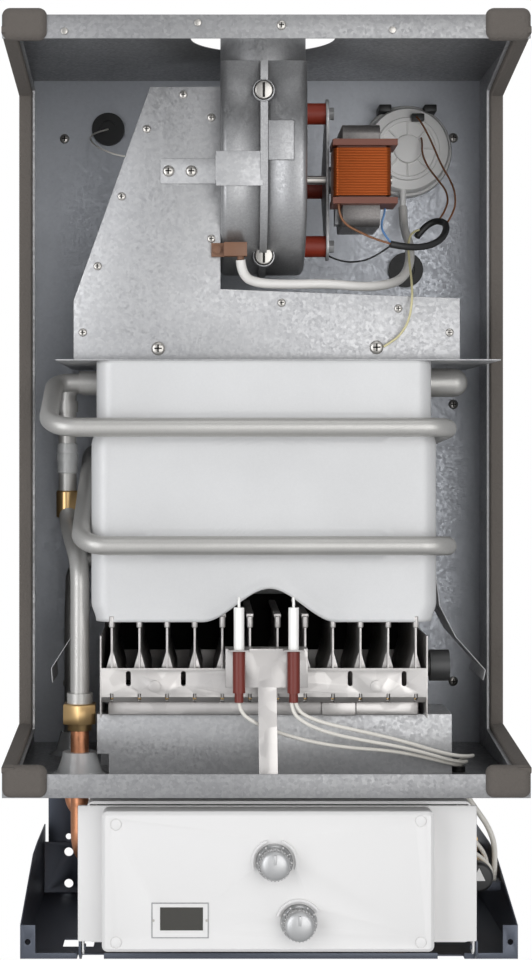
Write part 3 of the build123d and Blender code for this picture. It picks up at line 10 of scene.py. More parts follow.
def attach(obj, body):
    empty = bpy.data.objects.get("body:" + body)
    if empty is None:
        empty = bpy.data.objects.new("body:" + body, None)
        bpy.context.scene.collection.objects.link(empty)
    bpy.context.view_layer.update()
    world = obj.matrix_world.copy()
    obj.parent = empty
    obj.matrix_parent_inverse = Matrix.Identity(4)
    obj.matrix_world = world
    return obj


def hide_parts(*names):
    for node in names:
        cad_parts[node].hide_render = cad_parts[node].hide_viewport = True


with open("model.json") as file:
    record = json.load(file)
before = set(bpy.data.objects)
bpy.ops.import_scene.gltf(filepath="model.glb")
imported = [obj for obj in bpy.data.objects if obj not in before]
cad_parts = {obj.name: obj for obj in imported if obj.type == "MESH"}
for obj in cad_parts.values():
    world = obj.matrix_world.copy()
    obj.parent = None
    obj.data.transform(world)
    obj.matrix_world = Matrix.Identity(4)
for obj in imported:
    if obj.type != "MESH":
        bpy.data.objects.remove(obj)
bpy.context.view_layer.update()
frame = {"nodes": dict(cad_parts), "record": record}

bl_info = {
    "name": "Gas water heater looks",
    "version": (1, 0, 0),
    "blender": (4, 5, 0),
    "location": "View3D > Sidebar > Heater",
    "description": "Builds the looks of a wall-hung gas water heater round its packed frame",
    "category": "Object",
}

# Lengths below are millimetres, as in the part's source: X to the right, depth forwards from the back
# panel's front face, and height from the underside of the lower frame.
MM = 0.001
PANEL_FRONT = 13.0
DATUM_HEIGHT = 10.0


def spot(x, depth, height):
    """A point of the row frame, in metres."""
    return Vector((x, -(PANEL_FRONT + depth), height - DATUM_HEIGHT)) * MM


def body_of_node(node):
    for body, nodes in frame["record"]["behaviour"]["bodies"].items():
        if node in nodes:
            return body
    return "body"


class HeaterLooks(bpy.types.PropertyGroup):
    galvanised_light: bpy.props.FloatVectorProperty(
        name="Galvanised, light", description="Light grains of the zinc coating", subtype="COLOR",
        size=3, min=0, max=1, default=(0.50, 0.50, 0.50))
    galvanised_dark: bpy.props.FloatVectorProperty(
        name="Galvanised, dark", description="Dark grains of the zinc coating", subtype="COLOR",
        size=3, min=0, max=1, default=(0.36, 0.36, 0.37))
    panel_colour: bpy.props.FloatVectorProperty(
        name="Back panel", description="Colour of the sheet behind everything", subtype="COLOR",
        size=3, min=0, max=1, default=(0.56, 0.58, 0.62))
    chamber_colour: bpy.props.FloatVectorProperty(
        name="Chamber", description="Matte coating of the combustion chamber", subtype="COLOR",
        size=3, min=0, max=1, default=(0.68, 0.68, 0.68))
    pipe_colour: bpy.props.FloatVectorProperty(
        name="Pipes", description="Satin coating of the coil and the pipes", subtype="COLOR",
        size=3, min=0, max=1, default=(0.50, 0.49, 0.47))
    foam_colour: bpy.props.FloatVectorProperty(
        name="Foam", description="Foam seal round the chamber's edge", subtype="COLOR",
        size=3, min=0, max=1, default=(0.11, 0.097, 0.086))
    box_colour: bpy.props.FloatVectorProperty(
        name="Control box", description="White plastic of the control box", subtype="COLOR",
        size=3, min=0, max=1, default=(0.73, 0.72, 0.71))
    copper_colour: bpy.props.FloatVectorProperty(
        name="Motor winding", description="Enamelled copper wire", subtype="COLOR",
        size=3, min=0, max=1, default=(0.36, 0.085, 0.018))
    spangle_size: bpy.props.FloatProperty(
        name="Spangle", description="Width of one zinc grain", unit="LENGTH", default=0.0024, min=0.001, max=0.02)
    lamp_power: bpy.props.FloatProperty(
        name="Key light", description="Power of the large soft key light", default=25.0, min=1, max=500)
    winding_turns: bpy.props.IntProperty(
        name="Winding turns", description="Visible turns of the motor's winding", default=30, min=8, max=60)


def looks():
    return bpy.context.scene.heater_looks


# Materials

def link(tree, source, output, target, socket):
    tree.links.new(source.outputs[output], target.inputs[socket])


def grain_group():
    """Zinc grains: cells of random brightness, with a broad, soft change of tone over them."""
    group = bpy.data.node_groups.new("Grain", "ShaderNodeTree")
    face = group.interface
    face.new_socket("Vector", in_out="INPUT", socket_type="NodeSocketVector")
    face.new_socket("Light", in_out="INPUT", socket_type="NodeSocketColor")
    face.new_socket("Dark", in_out="INPUT", socket_type="NodeSocketColor")
    face.new_socket("Scale", in_out="INPUT", socket_type="NodeSocketFloat")
    face.new_socket("Contrast", in_out="INPUT", socket_type="NodeSocketFloat")
    face.new_socket("Color", in_out="OUTPUT", socket_type="NodeSocketColor")
    face.new_socket("Roughness", in_out="OUTPUT", socket_type="NodeSocketFloat")
    face.new_socket("Height", in_out="OUTPUT", socket_type="NodeSocketFloat")
    inputs = group.nodes.new("NodeGroupInput")
    outputs = group.nodes.new("NodeGroupOutput")
    cells = group.nodes.new("ShaderNodeTexVoronoi")
    link(group, inputs, "Vector", cells, "Vector")
    link(group, inputs, "Scale", cells, "Scale")
    broad = group.nodes.new("ShaderNodeTexNoise")
    broad.inputs["Scale"].default_value = 9.0
    broad.inputs["Detail"].default_value = 6.0
    link(group, inputs, "Vector", broad, "Vector")
    split = group.nodes.new("ShaderNodeSeparateColor")
    link(group, cells, "Color", split, "Color")
    centred = group.nodes.new("ShaderNodeMath")
    centred.operation = "SUBTRACT"
    centred.inputs[1].default_value = 0.5
    link(group, split, "Red", centred, 0)
    scaled = group.nodes.new("ShaderNodeMath")
    scaled.operation = "MULTIPLY"
    link(group, centred, "Value", scaled, 0)
    link(group, inputs, "Contrast", scaled, 1)
    total = group.nodes.new("ShaderNodeMath")
    link(group, scaled, "Value", total, 0)
    link(group, broad, "Fac", total, 1)
    tone = group.nodes.new("ShaderNodeMix")
    tone.data_type = "RGBA"
    group.links.new(total.outputs["Value"], tone.inputs["Factor"])
    group.links.new(inputs.outputs["Dark"], tone.inputs[6])
    group.links.new(inputs.outputs["Light"], tone.inputs[7])
    group.links.new(tone.outputs[2], outputs.inputs["Color"])
    rough = group.nodes.new("ShaderNodeMapRange")
    rough.inputs["To Min"].default_value = 0.32
    rough.inputs["To Max"].default_value = 0.55
    link(group, split, "Green", rough, "Value")
    link(group, rough, "Result", outputs, "Roughness")
    link(group, broad, "Fac", outputs, "Height")
    return group


def plain_material(name, colour, metallic=0.0, roughness=0.5, alpha=1.0, coat=0.0, bump=0.0, bump_scale=60.0):
    material = bpy.data.materials.new(f"look_{name}")
    material.use_nodes = True
    tree = material.node_tree
    shader = tree.nodes["Principled BSDF"]
    shader.inputs["Base Color"].default_value = (*colour, 1)
    shader.inputs["Metallic"].default_value = metallic
    shader.inputs["Roughness"].default_value = roughness
    shader.inputs["Alpha"].default_value = alpha
    shader.inputs["Coat Weight"].default_value = coat
    if bump:
        place = tree.nodes.new("ShaderNodeTexCoord")
        noise = tree.nodes.new("ShaderNodeTexNoise")
        noise.inputs["Scale"].default_value = bump_scale
        noise.inputs["Detail"].default_value = 5.0
        link(tree, place, "Object", noise, "Vector")
        relief = tree.nodes.new("ShaderNodeBump")
        relief.inputs["Strength"].default_value = bump
        relief.inputs["Distance"].default_value = 0.001
        link(tree, noise, "Fac", relief, "Height")
        link(tree, relief, "Normal", shader, "Normal")
    return material


def grained_material(name, group, light, dark, scale, contrast, metallic=0.75, bump=0.1):
    material = bpy.data.materials.new(f"look_{name}")
    material.use_nodes = True
    tree = material.node_tree
    shader = tree.nodes["Principled BSDF"]
    place = tree.nodes.new("ShaderNodeTexCoord")
    grain = tree.nodes.new("ShaderNodeGroup")
    grain.node_tree = group
    link(tree, place, "Object", grain, "Vector")
    grain.inputs["Light"].default_value = (*light, 1)
    grain.inputs["Dark"].default_value = (*dark, 1)
    grain.inputs["Scale"].default_value = scale
    grain.inputs["Contrast"].default_value = contrast
    link(tree, grain, "Color", shader, "Base Color")
    link(tree, grain, "Roughness", shader, "Roughness")
    shader.inputs["Metallic"].default_value = metallic
    relief = tree.nodes.new("ShaderNodeBump")
    relief.inputs["Strength"].default_value = bump
    relief.inputs["Distance"].default_value = 0.001
    link(tree, grain, "Height", relief, "Height")
    link(tree, relief, "Normal", shader, "Normal")
    return material


def shade(colour, factor):
    return tuple(min(1.0, c * factor) for c in colour)


def make_materials():
    s = looks()
    group = grain_group()
    light, dark = tuple(s.galvanised_light), tuple(s.galvanised_dark)
    panel = tuple(s.panel_colour)
    chamber = tuple(s.chamber_colour)
    pipe = tuple(s.pipe_colour)
    grains = 1 / s.spangle_size
    grained_material("galvanised", group, light, dark, grains, 0.5, 0.6)
    grained_material("bluish_panel", group, shade(panel, 1.08), shade(panel, 0.9), grains, 0.25, 0.5, 0.03)
    # A darker copy of the galvanised zinc: the dull tone of the top and bottom panels, and painted shade on the left
    # wall.
    grained_material("dull_zinc_and_painted_shade", group, shade(light, 0.7), shade(dark, 0.62), grains, 0.5, 0.6, 0.1)
    grained_material("cast_grey", group, shade(light, 0.95), shade(dark, 0.8), grains * 2, 0.3, 0.85, 0.15)
    grained_material("chamber", group, shade(chamber, 0.98), shade(chamber, 0.78), grains * 2, 0.1, 0.1, 0.5)
    grained_material("pipe_grey", group, shade(pipe, 1.1), shade(pipe, 0.82), grains * 5, 0.25, 0.7, 0.15)
    grained_material("burner_steel", group, (0.60, 0.58, 0.56), (0.44, 0.42, 0.41), grains * 0.2, 0.3, 0.85, 0.05)
    grained_material("copper", group, (0.66, 0.31, 0.17), (0.46, 0.19, 0.10), grains, 0.3, 0.95, 0.1)
    grained_material("lamination", group, (0.22, 0.21, 0.20), (0.13, 0.12, 0.12), grains * 3, 0.4, 0.8, 0.1)
    plain_material("dark_frame", (0.085, 0.095, 0.120), 0.55, 0.38, bump=0.05)
    plain_material("foam", tuple(s.foam_colour), 0.0, 0.95, bump=0.9, bump_scale=450.0)
    plain_material("screw_steel", (0.50, 0.48, 0.45), 0.9, 0.3)
    plain_material("black_rubber", (0.012, 0.012, 0.012), 0.0, 0.45)
    plain_material("red_rubber", (0.27, 0.026, 0.008), 0.0, 0.5)
    plain_material("bobbin", (0.13, 0.035, 0.018), 0.0, 0.45)
    plain_material("copper_wire", tuple(s.copper_colour), 0.8, 0.28)
    plain_material("knob_silver", (0.52, 0.52, 0.52), 0.85, 0.42)
    plain_material("black_plastic", (0.016, 0.016, 0.016), 0.0, 0.4)
    plain_material("switch_white", (0.92, 0.91, 0.89), 0.0, 0.4)
    plain_material("brown_plastic", (0.18, 0.085, 0.045), 0.0, 0.45)
    plain_material("silicone", (0.72, 0.70, 0.67), 0.0, 0.4, coat=0.2)
    plain_material("lead_cream", (0.75, 0.72, 0.66), 0.0, 0.45)
    plain_material("lead_brown", (0.20, 0.08, 0.03), 0.0, 0.45)
    plain_material("lead_blue", (0.15, 0.32, 0.62), 0.0, 0.45)
    plain_material("lead_earth", (0.58, 0.53, 0.30), 0.0, 0.45)
    plain_material("dark_steel", (0.06, 0.06, 0.06), 0.6, 0.45)
    plain_material("ceramic_white", (0.88, 0.87, 0.84), 0.0, 0.18, coat=0.4)
    plain_material("boot_rubber", (0.15, 0.018, 0.010), 0.0, 0.4)
    plain_material("brass", (0.62, 0.42, 0.20), 0.95, 0.28)
    plain_material("clear_plastic", (0.75, 0.76, 0.76), 0.0, 0.15, alpha=0.45, coat=0.5)
    plain_material("box_white", tuple(s.box_colour), 0.0, 0.42, bump=0.03, bump_scale=900.0)
    plain_material("display_dark", (0.032, 0.030, 0.024), 0.0, 0.12, coat=0.5)
    plain_material("board_green", (0.03, 0.12, 0.05), 0.0, 0.5)
    plain_material("knob_chrome", (0.45, 0.45, 0.45), 0.9, 0.3)
    # Near-black painted shade: the screws' cross recesses, the grooves round the fan's clamp screws and the dark gaps
    # behind the burner bars.
    plain_material("painted_shade_black", (0.02, 0.018, 0.016), 0.2, 0.8)


# The left wall takes the darker zinc as painted shade, while the right wall keeps the plain galvanised; the top and
# bottom panels take it for their dull tone.
NODE_MATERIALS = {
    "top_panel": "dull_zinc_and_painted_shade",
    "bottom_panel": "dull_zinc_and_painted_shade",
    "side_wall_left": "dull_zinc_and_painted_shade",
    "display_window": "box_white",
}


def paint(name):
    return bpy.data.materials[f"look_{name}"]


def paint_name(node):
    """The name of a CAD node's material: its own, or that of its slot in the record."""
    slots = {part["node"]: part["material_slot"] for part in frame["record"]["subparts"]}
    return NODE_MATERIALS.get(node, slots[node])


# Mesh helpers

def finish_piece(name, bm, material, body="body", replaced=(), smooth=30, shade_all=True):
    """Turns a bmesh in the row frame into a piece that rides on a CAD body."""
    mesh = bpy.data.meshes.new(name)
    bmesh.ops.recalc_face_normals(bm, faces=bm.faces)
    bm.to_mesh(mesh)
    bm.free()
    mesh.materials.append(paint(material))
    if shade_all:
        mesh.shade_smooth()
    mesh.set_sharp_from_angle(angle=math.radians(smooth))
    piece = bpy.data.objects.new(name, mesh)
    bpy.context.scene.collection.objects.link(piece)
    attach(piece, body)
    if replaced:
        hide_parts(*replaced)
    return piece


def add_box(bm, x0, x1, d0, d1, z0, z1, bevel=0.0, segments=2):
    """A box between two widths, depths and heights, in millimetres, with rounded edges."""
    low, high = spot(x0, d1, z0), spot(x1, d0, z1)
    middle = (low + high) / 2
    size = high - low
    matrix = Matrix.Translation(middle) @ Matrix.Diagonal((*size, 1))
    made = bmesh.ops.create_cube(bm, size=1, matrix=matrix)
    if bevel:
        edges = list({e for v in made["verts"] for e in v.link_edges})
        bmesh.ops.bevel(bm, geom=edges, offset=bevel * MM, offset_type="OFFSET", segments=segments, profile=0.5,
                        affect="EDGES", clamp_overlap=True, material=-1)


def add_bar(bm, start, end, radius, bevel=0.0, sides=32, end_radius=None):
    """A round bar between two points of the row frame, with its end edges rounded."""
    axis = end - start
    turn = axis.to_track_quat("Z", "Y").to_matrix().to_4x4()
    matrix = Matrix.Translation((start + end) / 2) @ turn
    top = radius if end_radius is None else end_radius
    made = bmesh.ops.create_cone(bm, cap_ends=True, segments=sides, radius1=radius * MM, radius2=top * MM,
                                 depth=axis.length, matrix=matrix)
    if bevel:
        rims = list({e for v in made["verts"] for e in v.link_edges if len(e.link_faces) == 2
                     and any(len(f.verts) > 4 for f in e.link_faces)})
        bmesh.ops.bevel(bm, geom=rims, offset=bevel * MM, offset_type="OFFSET", segments=3, profile=0.5,
                        affect="EDGES", clamp_overlap=True, material=-1)


def add_lathe(bm, profile, centre, axis, steps=48):
    """Spins a profile of (radius, height along the axis) points, in millimetres, round an axis."""
    axis = Vector(axis).normalized()
    side = axis.orthogonal().normalized()
    verts = [bm.verts.new(centre + side * r * MM + axis * h * MM) for r, h in profile]
    edges = [bm.edges.new(pair) for pair in zip(verts, verts[1:])]
    bmesh.ops.spin(bm, geom=verts + edges, cent=centre, axis=axis, angle=2 * math.pi, steps=steps,
                   use_merge=True, use_duplicate=False)
    bmesh.ops.remove_doubles(bm, verts=bm.verts, dist=0.00001)


def add_prism(bm, corners, direction, bevel=0.0, segments=3):
    """A plate: a flat outline of points in the row frame, pushed along a direction."""
    base = bm.faces.new([bm.verts.new(c) for c in corners])
    pushed = bmesh.ops.extrude_face_region(bm, geom=[base])
    moved = [v for v in pushed["geom"] if isinstance(v, bmesh.types.BMVert)]
    bmesh.ops.translate(bm, verts=moved, vec=direction)
    if bevel:
        faces = [f for f in pushed["geom"] if isinstance(f, bmesh.types.BMFace)]
        rim = list({e for f in faces for e in f.edges})
        bmesh.ops.bevel(bm, geom=rim, offset=bevel * MM, offset_type="OFFSET", segments=segments, profile=0.5,
                        affect="EDGES", clamp_overlap=True, material=-1)


def soften(node, width, segments=2, angle=35.0):
    """A copy of a CAD node with its flat faces joined and its sharp edges rounded."""
    source = frame["nodes"][node]
    bm = bmesh.new()
    bm.from_mesh(source.data)
    bmesh.ops.remove_doubles(bm, verts=bm.verts, dist=0.000002)
    bmesh.ops.dissolve_limit(bm, angle_limit=math.radians(1.0), verts=bm.verts, edges=bm.edges)
    sharp = [e for e in bm.edges if len(e.link_faces) == 2 and e.calc_face_angle(0) > math.radians(angle)]
    made = bmesh.ops.bevel(bm, geom=sharp, offset=width * MM, offset_type="OFFSET", segments=segments, profile=0.5,
                           affect="EDGES", clamp_overlap=True, material=-1)
    rounding = set(made["faces"])
    for face in bm.faces:
        turns = [e.calc_face_angle(0) for e in face.edges if len(e.link_faces) == 2
                 and not rounding.intersection(e.link_faces)]
        face.smooth = face in rounding or any(0.017 < turn < math.radians(angle) for turn in turns)
    return finish_piece(f"{node}_soft", bm, paint_name(node), body_of_node(node), (node,), 40, False)


def paint_frame():
    """Gives every CAD node that stays in view the material of its slot."""
    for node, source in frame["nodes"].items():
        source.data.materials.clear()
        source.data.materials.append(paint(paint_name(node)))


# Cords: smooth curves through the same routes as in the part's source

CORDS = {
    "pressure_hose": ("pressure_hose", 8.5, "silicone", "medium", [
        (-20.0, 221.0, 603.0), (-19.0, 219.0, 591.0), (-8.0, 212.0, 583.5), (22.0, 203.0, 582.8),
        (58.0, 200.0, 584.0), (88.0, 192.0, 581.5), (112.0, 176.0, 584.5), (128.0, 152.0, 592.0),
        (138.0, 120.0, 608.0), (141.5, 88.0, 628.0), (140.0, 56.0, 645.0), (141.0, 30.0, 656.0),
        (141.0, 24.0, 672.0)]),
    "blue_lead": ("fan_wiring", 2.0, "lead_blue", "limp", [
        (109.5, 181.0, 652.3), (108.5, 181.5, 646.0), (105.5, 185.0, 638.0), (107.0, 192.0, 629.0),
        (113.0, 203.5, 619.5)]),
    "brown_lead": ("fan_wiring", 2.0, "lead_brown", "limp", [
        (66.0, 214.0, 652.3), (66.3, 214.2, 644.0), (72.0, 213.0, 634.5), (84.0, 211.0, 628.5),
        (98.0, 207.0, 622.5), (113.0, 204.0, 618.5)]),
    "black_lead": ("fan_wiring", 1.6, "black_rubber", "limp", [
        (60.5, 160.0, 612.0), (66.5, 166.0, 608.0), (80.0, 181.0, 604.0), (98.0, 196.0, 606.5),
        (113.0, 204.5, 617.5)]),
    "switch_lead_a": ("fan_wiring", 1.8, "lead_brown", "limp", [
        (153.0, 38.0, 757.5), (155.0, 43.5, 754.0), (160.5, 49.0, 743.0), (166.5, 58.0, 727.0),
        (172.5, 73.0, 706.0), (180.0, 90.0, 688.0), (182.0, 108.0, 672.0), (178.0, 126.0, 655.0),
        (169.0, 140.0, 643.0)]),
    "switch_lead_b": ("fan_wiring", 1.8, "lead_brown", "limp", [
        (158.0, 32.0, 738.0), (158.5, 38.0, 733.0), (157.0, 46.0, 722.0), (161.0, 57.0, 707.0),
        (169.0, 72.0, 693.0), (176.5, 90.0, 678.0), (174.0, 110.0, 661.0), (163.0, 127.0, 647.0)]),
    "sleeve": ("fan_wiring", 6.2, "black_rubber", "medium", [
        (112.0, 204.0, 618.5), (124.0, 202.0, 616.0), (144.0, 190.0, 617.0), (160.0, 172.0, 624.5),
        (168.0, 152.0, 636.0), (169.0, 136.0, 645.0), (160.0, 124.0, 648.0), (150.0, 120.0, 641.0),
        (144.0, 122.0, 633.0)]),
    "earth_lead": ("fan_wiring", 2.0, "lead_earth", "limp", [
        (148.0, 121.0, 640.0), (139.5, 128.0, 638.0), (134.5, 138.0, 627.0), (133.5, 154.0, 612.0),
        (132.5, 182.0, 593.0), (130.5, 209.0, 582.5), (129.5, 223.0, 569.0), (127.0, 221.5, 550.0),
        (119.0, 219.5, 537.0), (110.0, 217.4, 530.5), (105.2, 217.2, 527.5)]),
    "sensor_lead": ("fan_wiring", 1.6, "lead_cream", "limp", [
        (-117.9, 150.0, 703.0), (-124.5, 130.0, 706.0), (-136.0, 98.0, 713.0), (-149.0, 66.0, 722.0),
        (-159.0, 42.0, 731.0), (-163.5, 24.0, 740.0), (-157.0, 11.0, 747.0), (-146.0, 3.0, 751.0)]),
    "ignition_cable_1": ("ignition_cables", 3.2, "lead_cream", "medium", [
        (-22.0, 257.1, 222.0), (-21.0, 257.5, 214.5), (-13.0, 257.0, 207.0), (3.0, 256.0, 199.0),
        (25.0, 253.0, 191.5), (50.0, 248.0, 185.0), (78.0, 242.0, 180.5), (104.0, 236.0, 178.0),
        (130.0, 229.0, 173.0), (154.0, 219.5, 166.0), (170.5, 208.0, 160.5), (176.5, 192.0, 158.8),
        (173.8, 177.5, 157.5), (173.2, 172.0, 153.5)]),
    "ignition_cable_2": ("ignition_cables", 3.2, "lead_cream", "medium", [
        (22.9, 257.1, 222.0), (23.6, 258.0, 215.0), (29.0, 259.5, 208.0), (42.0, 258.5, 200.5),
        (62.0, 254.0, 193.5), (88.0, 247.5, 187.5), (114.0, 239.5, 182.0), (140.0, 229.5, 174.5),
        (161.0, 219.0, 167.0), (176.5, 206.0, 162.5), (182.0, 190.5, 161.0), (179.3, 178.0, 158.5),
        (177.8, 172.0, 153.5)]),
    "ignition_cable_3": ("ignition_cables", 3.2, "lead_cream", "medium", [
        (26.4, 257.1, 222.0), (28.2, 256.3, 215.5), (36.0, 255.0, 209.5), (52.0, 252.5, 203.5),
        (74.0, 248.5, 198.0), (98.0, 242.0, 192.0), (124.0, 234.0, 184.5), (148.0, 225.5, 176.0),
        (168.0, 216.5, 170.0), (182.5, 204.0, 167.5), (188.0, 188.0, 166.0), (183.5, 174.5, 162.5),
        (176.8, 168.0, 158.5), (175.5, 167.6, 153.5)]),
    "harness_1": ("harness_cables", 5.0, "lead_cream", "medium", [
        (175.5, 172.0, 145.0), (180.5, 171.0, 132.0), (192.0, 168.0, 115.0), (203.5, 163.0, 99.0),
        (210.5, 157.0, 82.0), (212.0, 150.5, 64.0), (211.5, 146.0, 46.0)]),
    "harness_2": ("harness_cables", 4.0, "lead_cream", "medium", [
        (104.0, 170.0, 96.0), (132.0, 170.5, 100.0), (158.0, 169.5, 101.0), (176.0, 167.0, 96.5),
        (190.5, 161.5, 86.5), (201.5, 154.0, 73.0), (206.0, 147.0, 59.0), (206.3, 143.0, 46.0)]),
    "harness_3": ("harness_cables", 4.0, "lead_cream", "medium", [
        (104.0, 184.0, 88.0), (134.0, 184.5, 90.5), (160.0, 183.5, 90.0), (178.0, 180.5, 84.0),
        (193.0, 174.5, 75.0), (204.0, 165.0, 64.0), (208.3, 155.0, 54.5), (208.5, 150.5, 46.0)]),
}


CURVE_STEPS = 12


def curve_piece(name, points, diameter, material):
    curve = bpy.data.curves.new(name, "CURVE")
    curve.dimensions = "3D"
    curve.bevel_depth = diameter / 2 * MM
    curve.bevel_resolution = 5
    curve.use_fill_caps = True
    curve.resolution_u = CURVE_STEPS
    spline = curve.splines.new("NURBS")
    spline.points.add(len(points) - 1)
    for point, place in zip(spline.points, points):
        point.co = (*spot(*place), 1)
    spline.order_u = 3
    spline.use_endpoint_u = True
    curve.materials.append(paint(material))
    piece = bpy.data.objects.new(name, curve)
    bpy.context.scene.collection.objects.link(piece)
    return piece


class HEATER_OT_cords(bpy.types.Operator):
    """Lays the hose, the leads and the cables along their routes"""
    bl_idname = "heater.cords"
    bl_label = "Cords"

    def execute(self, context):
        for name, (node, diameter, material, stiffness, points) in CORDS.items():
            piece = curve_piece(f"{name}_cord", points, diameter, material)
            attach(piece, "body")
            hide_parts(node)
        return {"FINISHED"}


class HEATER_OT_materials(bpy.types.Operator):
    """Makes the materials and paints the frame with them"""
    bl_idname = "heater.materials"
    bl_label = "Materials"

    def execute(self, context):
        make_materials()
        paint_frame()
        return {"FINISHED"}


# The viewpoint was worked out from the near and the far edges of the chamber in the photograph.
CAMERA_PLACE = (-0.051, -1.961, 0.436)
LENS, SENSOR_WIDTH = 74.3, 36.0
LENS_SHIFT = (0.0635, -0.0417)


class HEATER_OT_camera(bpy.types.Operator):
    """Places the camera where the photograph was taken"""
    bl_idname = "heater.camera"
    bl_label = "Camera"

    def execute(self, context):
        camera = bpy.data.cameras.new("photo_camera")
        camera.lens = LENS
        camera.sensor_width = SENSOR_WIDTH
        camera.shift_x, camera.shift_y = LENS_SHIFT
        camera.clip_end = 20.0
        holder = bpy.data.objects.new("photo_camera", camera)
        holder.location = CAMERA_PLACE
        holder.rotation_euler = (math.radians(90), 0, 0)
        context.scene.collection.objects.link(holder)
        context.scene.camera = holder
        return {"FINISHED"}


# Sheet metal

SHEET_NODES = {
    "side_wall_left": 0.35, "side_wall_right": 0.35, "top_panel": 0.4, "bottom_panel": 0.4,
    "hood_shell": 0.4, "hood_front": 0.35, "hood_base_plate": 0.4, "fan_bracket": 0.4, "lower_frame": 0.45,
    "rear_frame": 0.4, "burner_tray": 0.4, "burner_frame": 0.4, "electrode_bracket": 0.4, "side_deflectors": 0.25,
    "motor_plate": 0.6, "bearing_brackets": 0.6, "stator_core": 0.8, "gas_manifold": 1.0,
    "pressure_tap": 0.8, "control_tray": 1.2, "control_cover": 1.6, "gas_valve": 1.5, "pump": 1.5,
    "plate_exchanger": 0.6, "filling_valve": 1.0, "filling_knob": 1.0, "burner_bars": 0.3, "union_nut": 0.6,
}


class HEATER_OT_sheet_metal(bpy.types.Operator):
    """Rounds the edges of the plain rigid pieces"""
    bl_idname = "heater.sheet_metal"
    bl_label = "Sheet metal"

    def execute(self, context):
        for node, width in SHEET_NODES.items():
            soften(node, width)
        return {"FINISHED"}


class HEATER_OT_seals(bpy.types.Operator):
    """Foam strips along the walls' edges, with rounded blocks at the corners"""
    bl_idname = "heater.seals"
    bl_label = "Foam seals"

    def execute(self, context):
        for node, outer, side in (("seal_left", -220.0, 1), ("seal_right", 220.0, -1)):
            bm = bmesh.new()
            strip = [(299.0, 168.0), (140.0, 182.0), (140.0, 765.0), (299.0, 791.0), (304.0, 789.0), (304.5, 784.0),
                     (146.0, 759.0), (146.0, 188.0), (304.5, 174.0), (304.0, 170.0)]
            add_prism(bm, [spot(outer, d, h) for d, h in strip], Vector((side * 12.0 * MM, 0, 0)), 2.4)
            low, high = sorted((outer, outer + side * 37.5))
            add_box(bm, low, high, 291.0, 305.3, 778.5, 805.5, 6.8, 6)
            add_box(bm, low, high, 291.0, 305.3, 148.5, 175.5, 6.8, 6)
            add_box(bm, min(outer, outer + side * 13), max(outer, outer + side * 13), 282.0, 303.0, 160.0, 176.0, 4, 4)
            finish_piece(f"{node}_foam", bm, "foam", "body", (node,), 60)
        return {"FINISHED"}


# Combustion chamber: one draped skin with two pressed beads and an arch at its foot

SHELL = {
    "centre": 0.5, "back": 65.0, "front": 228.0, "bottom": 288.0, "top": 515.0, "step": 450.0,
    "half_low": 151.0, "half_top": 146.5, "radius": 16.0,
}
BEAD_HEIGHTS = (457.0, 355.0)
BEAD_LEFT, BEAD_RIGHT, BEAD_WIDTH, BEAD_RISE = -104.0, 112.0, 24.0, 6.0
ARCH_CENTRE, ARCH_HALF, ARCH_HEIGHT = 5.0, 58.0, 29.0
SHELL_ROWS = 72
SHELL_WALL = 1.0
FOOT_TUCK, FOOT_HEIGHT = 7.0, 16.0
HEM_RISE = 1.5


def smooth_step(value):
    value = min(1.0, max(0.0, value))
    return value * value * (3 - 2 * value)


def arch_rise(x):
    """The height of the arch's edge over the foot of the front wall."""
    across = abs(x - ARCH_CENTRE) / ARCH_HALF
    return ARCH_HEIGHT * (1 - smooth_step(across)) if across < 1 else 0.0


def bead_rise(x, height):
    rise = 0.0
    for level in BEAD_HEIGHTS:
        beyond = max(BEAD_LEFT + BEAD_WIDTH / 2 - x, x - BEAD_RIGHT + BEAD_WIDTH / 2, 0.0)
        reach = math.hypot(beyond, height - level)
        rise = max(rise, BEAD_RISE * smooth_step((BEAD_WIDTH / 2 - reach) / 6.0))
    return rise


def shell_loop(half, corner, count_side=18, count_front=90, count_corner=8):
    """Points of a rounded rectangle, as (x from the centre, depth, on the front wall), from the back's middle."""
    back, front = SHELL["back"], SHELL["front"]
    points = []
    for index in range(count_front // 3):
        points.append((-(half - corner) * index / (count_front // 3), back, False))
    for index in range(count_corner):
        angle = math.radians(90 * index / count_corner)
        points.append((-(half - corner) - corner * math.sin(angle), back + corner * (1 - math.cos(angle)), False))
    for index in range(count_side):
        points.append((-half, back + corner + (front - back - 2 * corner) * index / count_side, False))
    for index in range(count_corner):
        angle = math.radians(90 * index / count_corner)
        points.append((-half + corner * (1 - math.cos(angle)), front - corner + corner * math.sin(angle), True))
    for index in range(count_front):
        points.append((-(half - corner) + 2 * (half - corner) * index / count_front, front, True))
    mirrored = [(-x, d, f) for x, d, f in reversed(points[:-count_front])]
    return points + [(half - corner, front, True)] + mirrored[:-1]


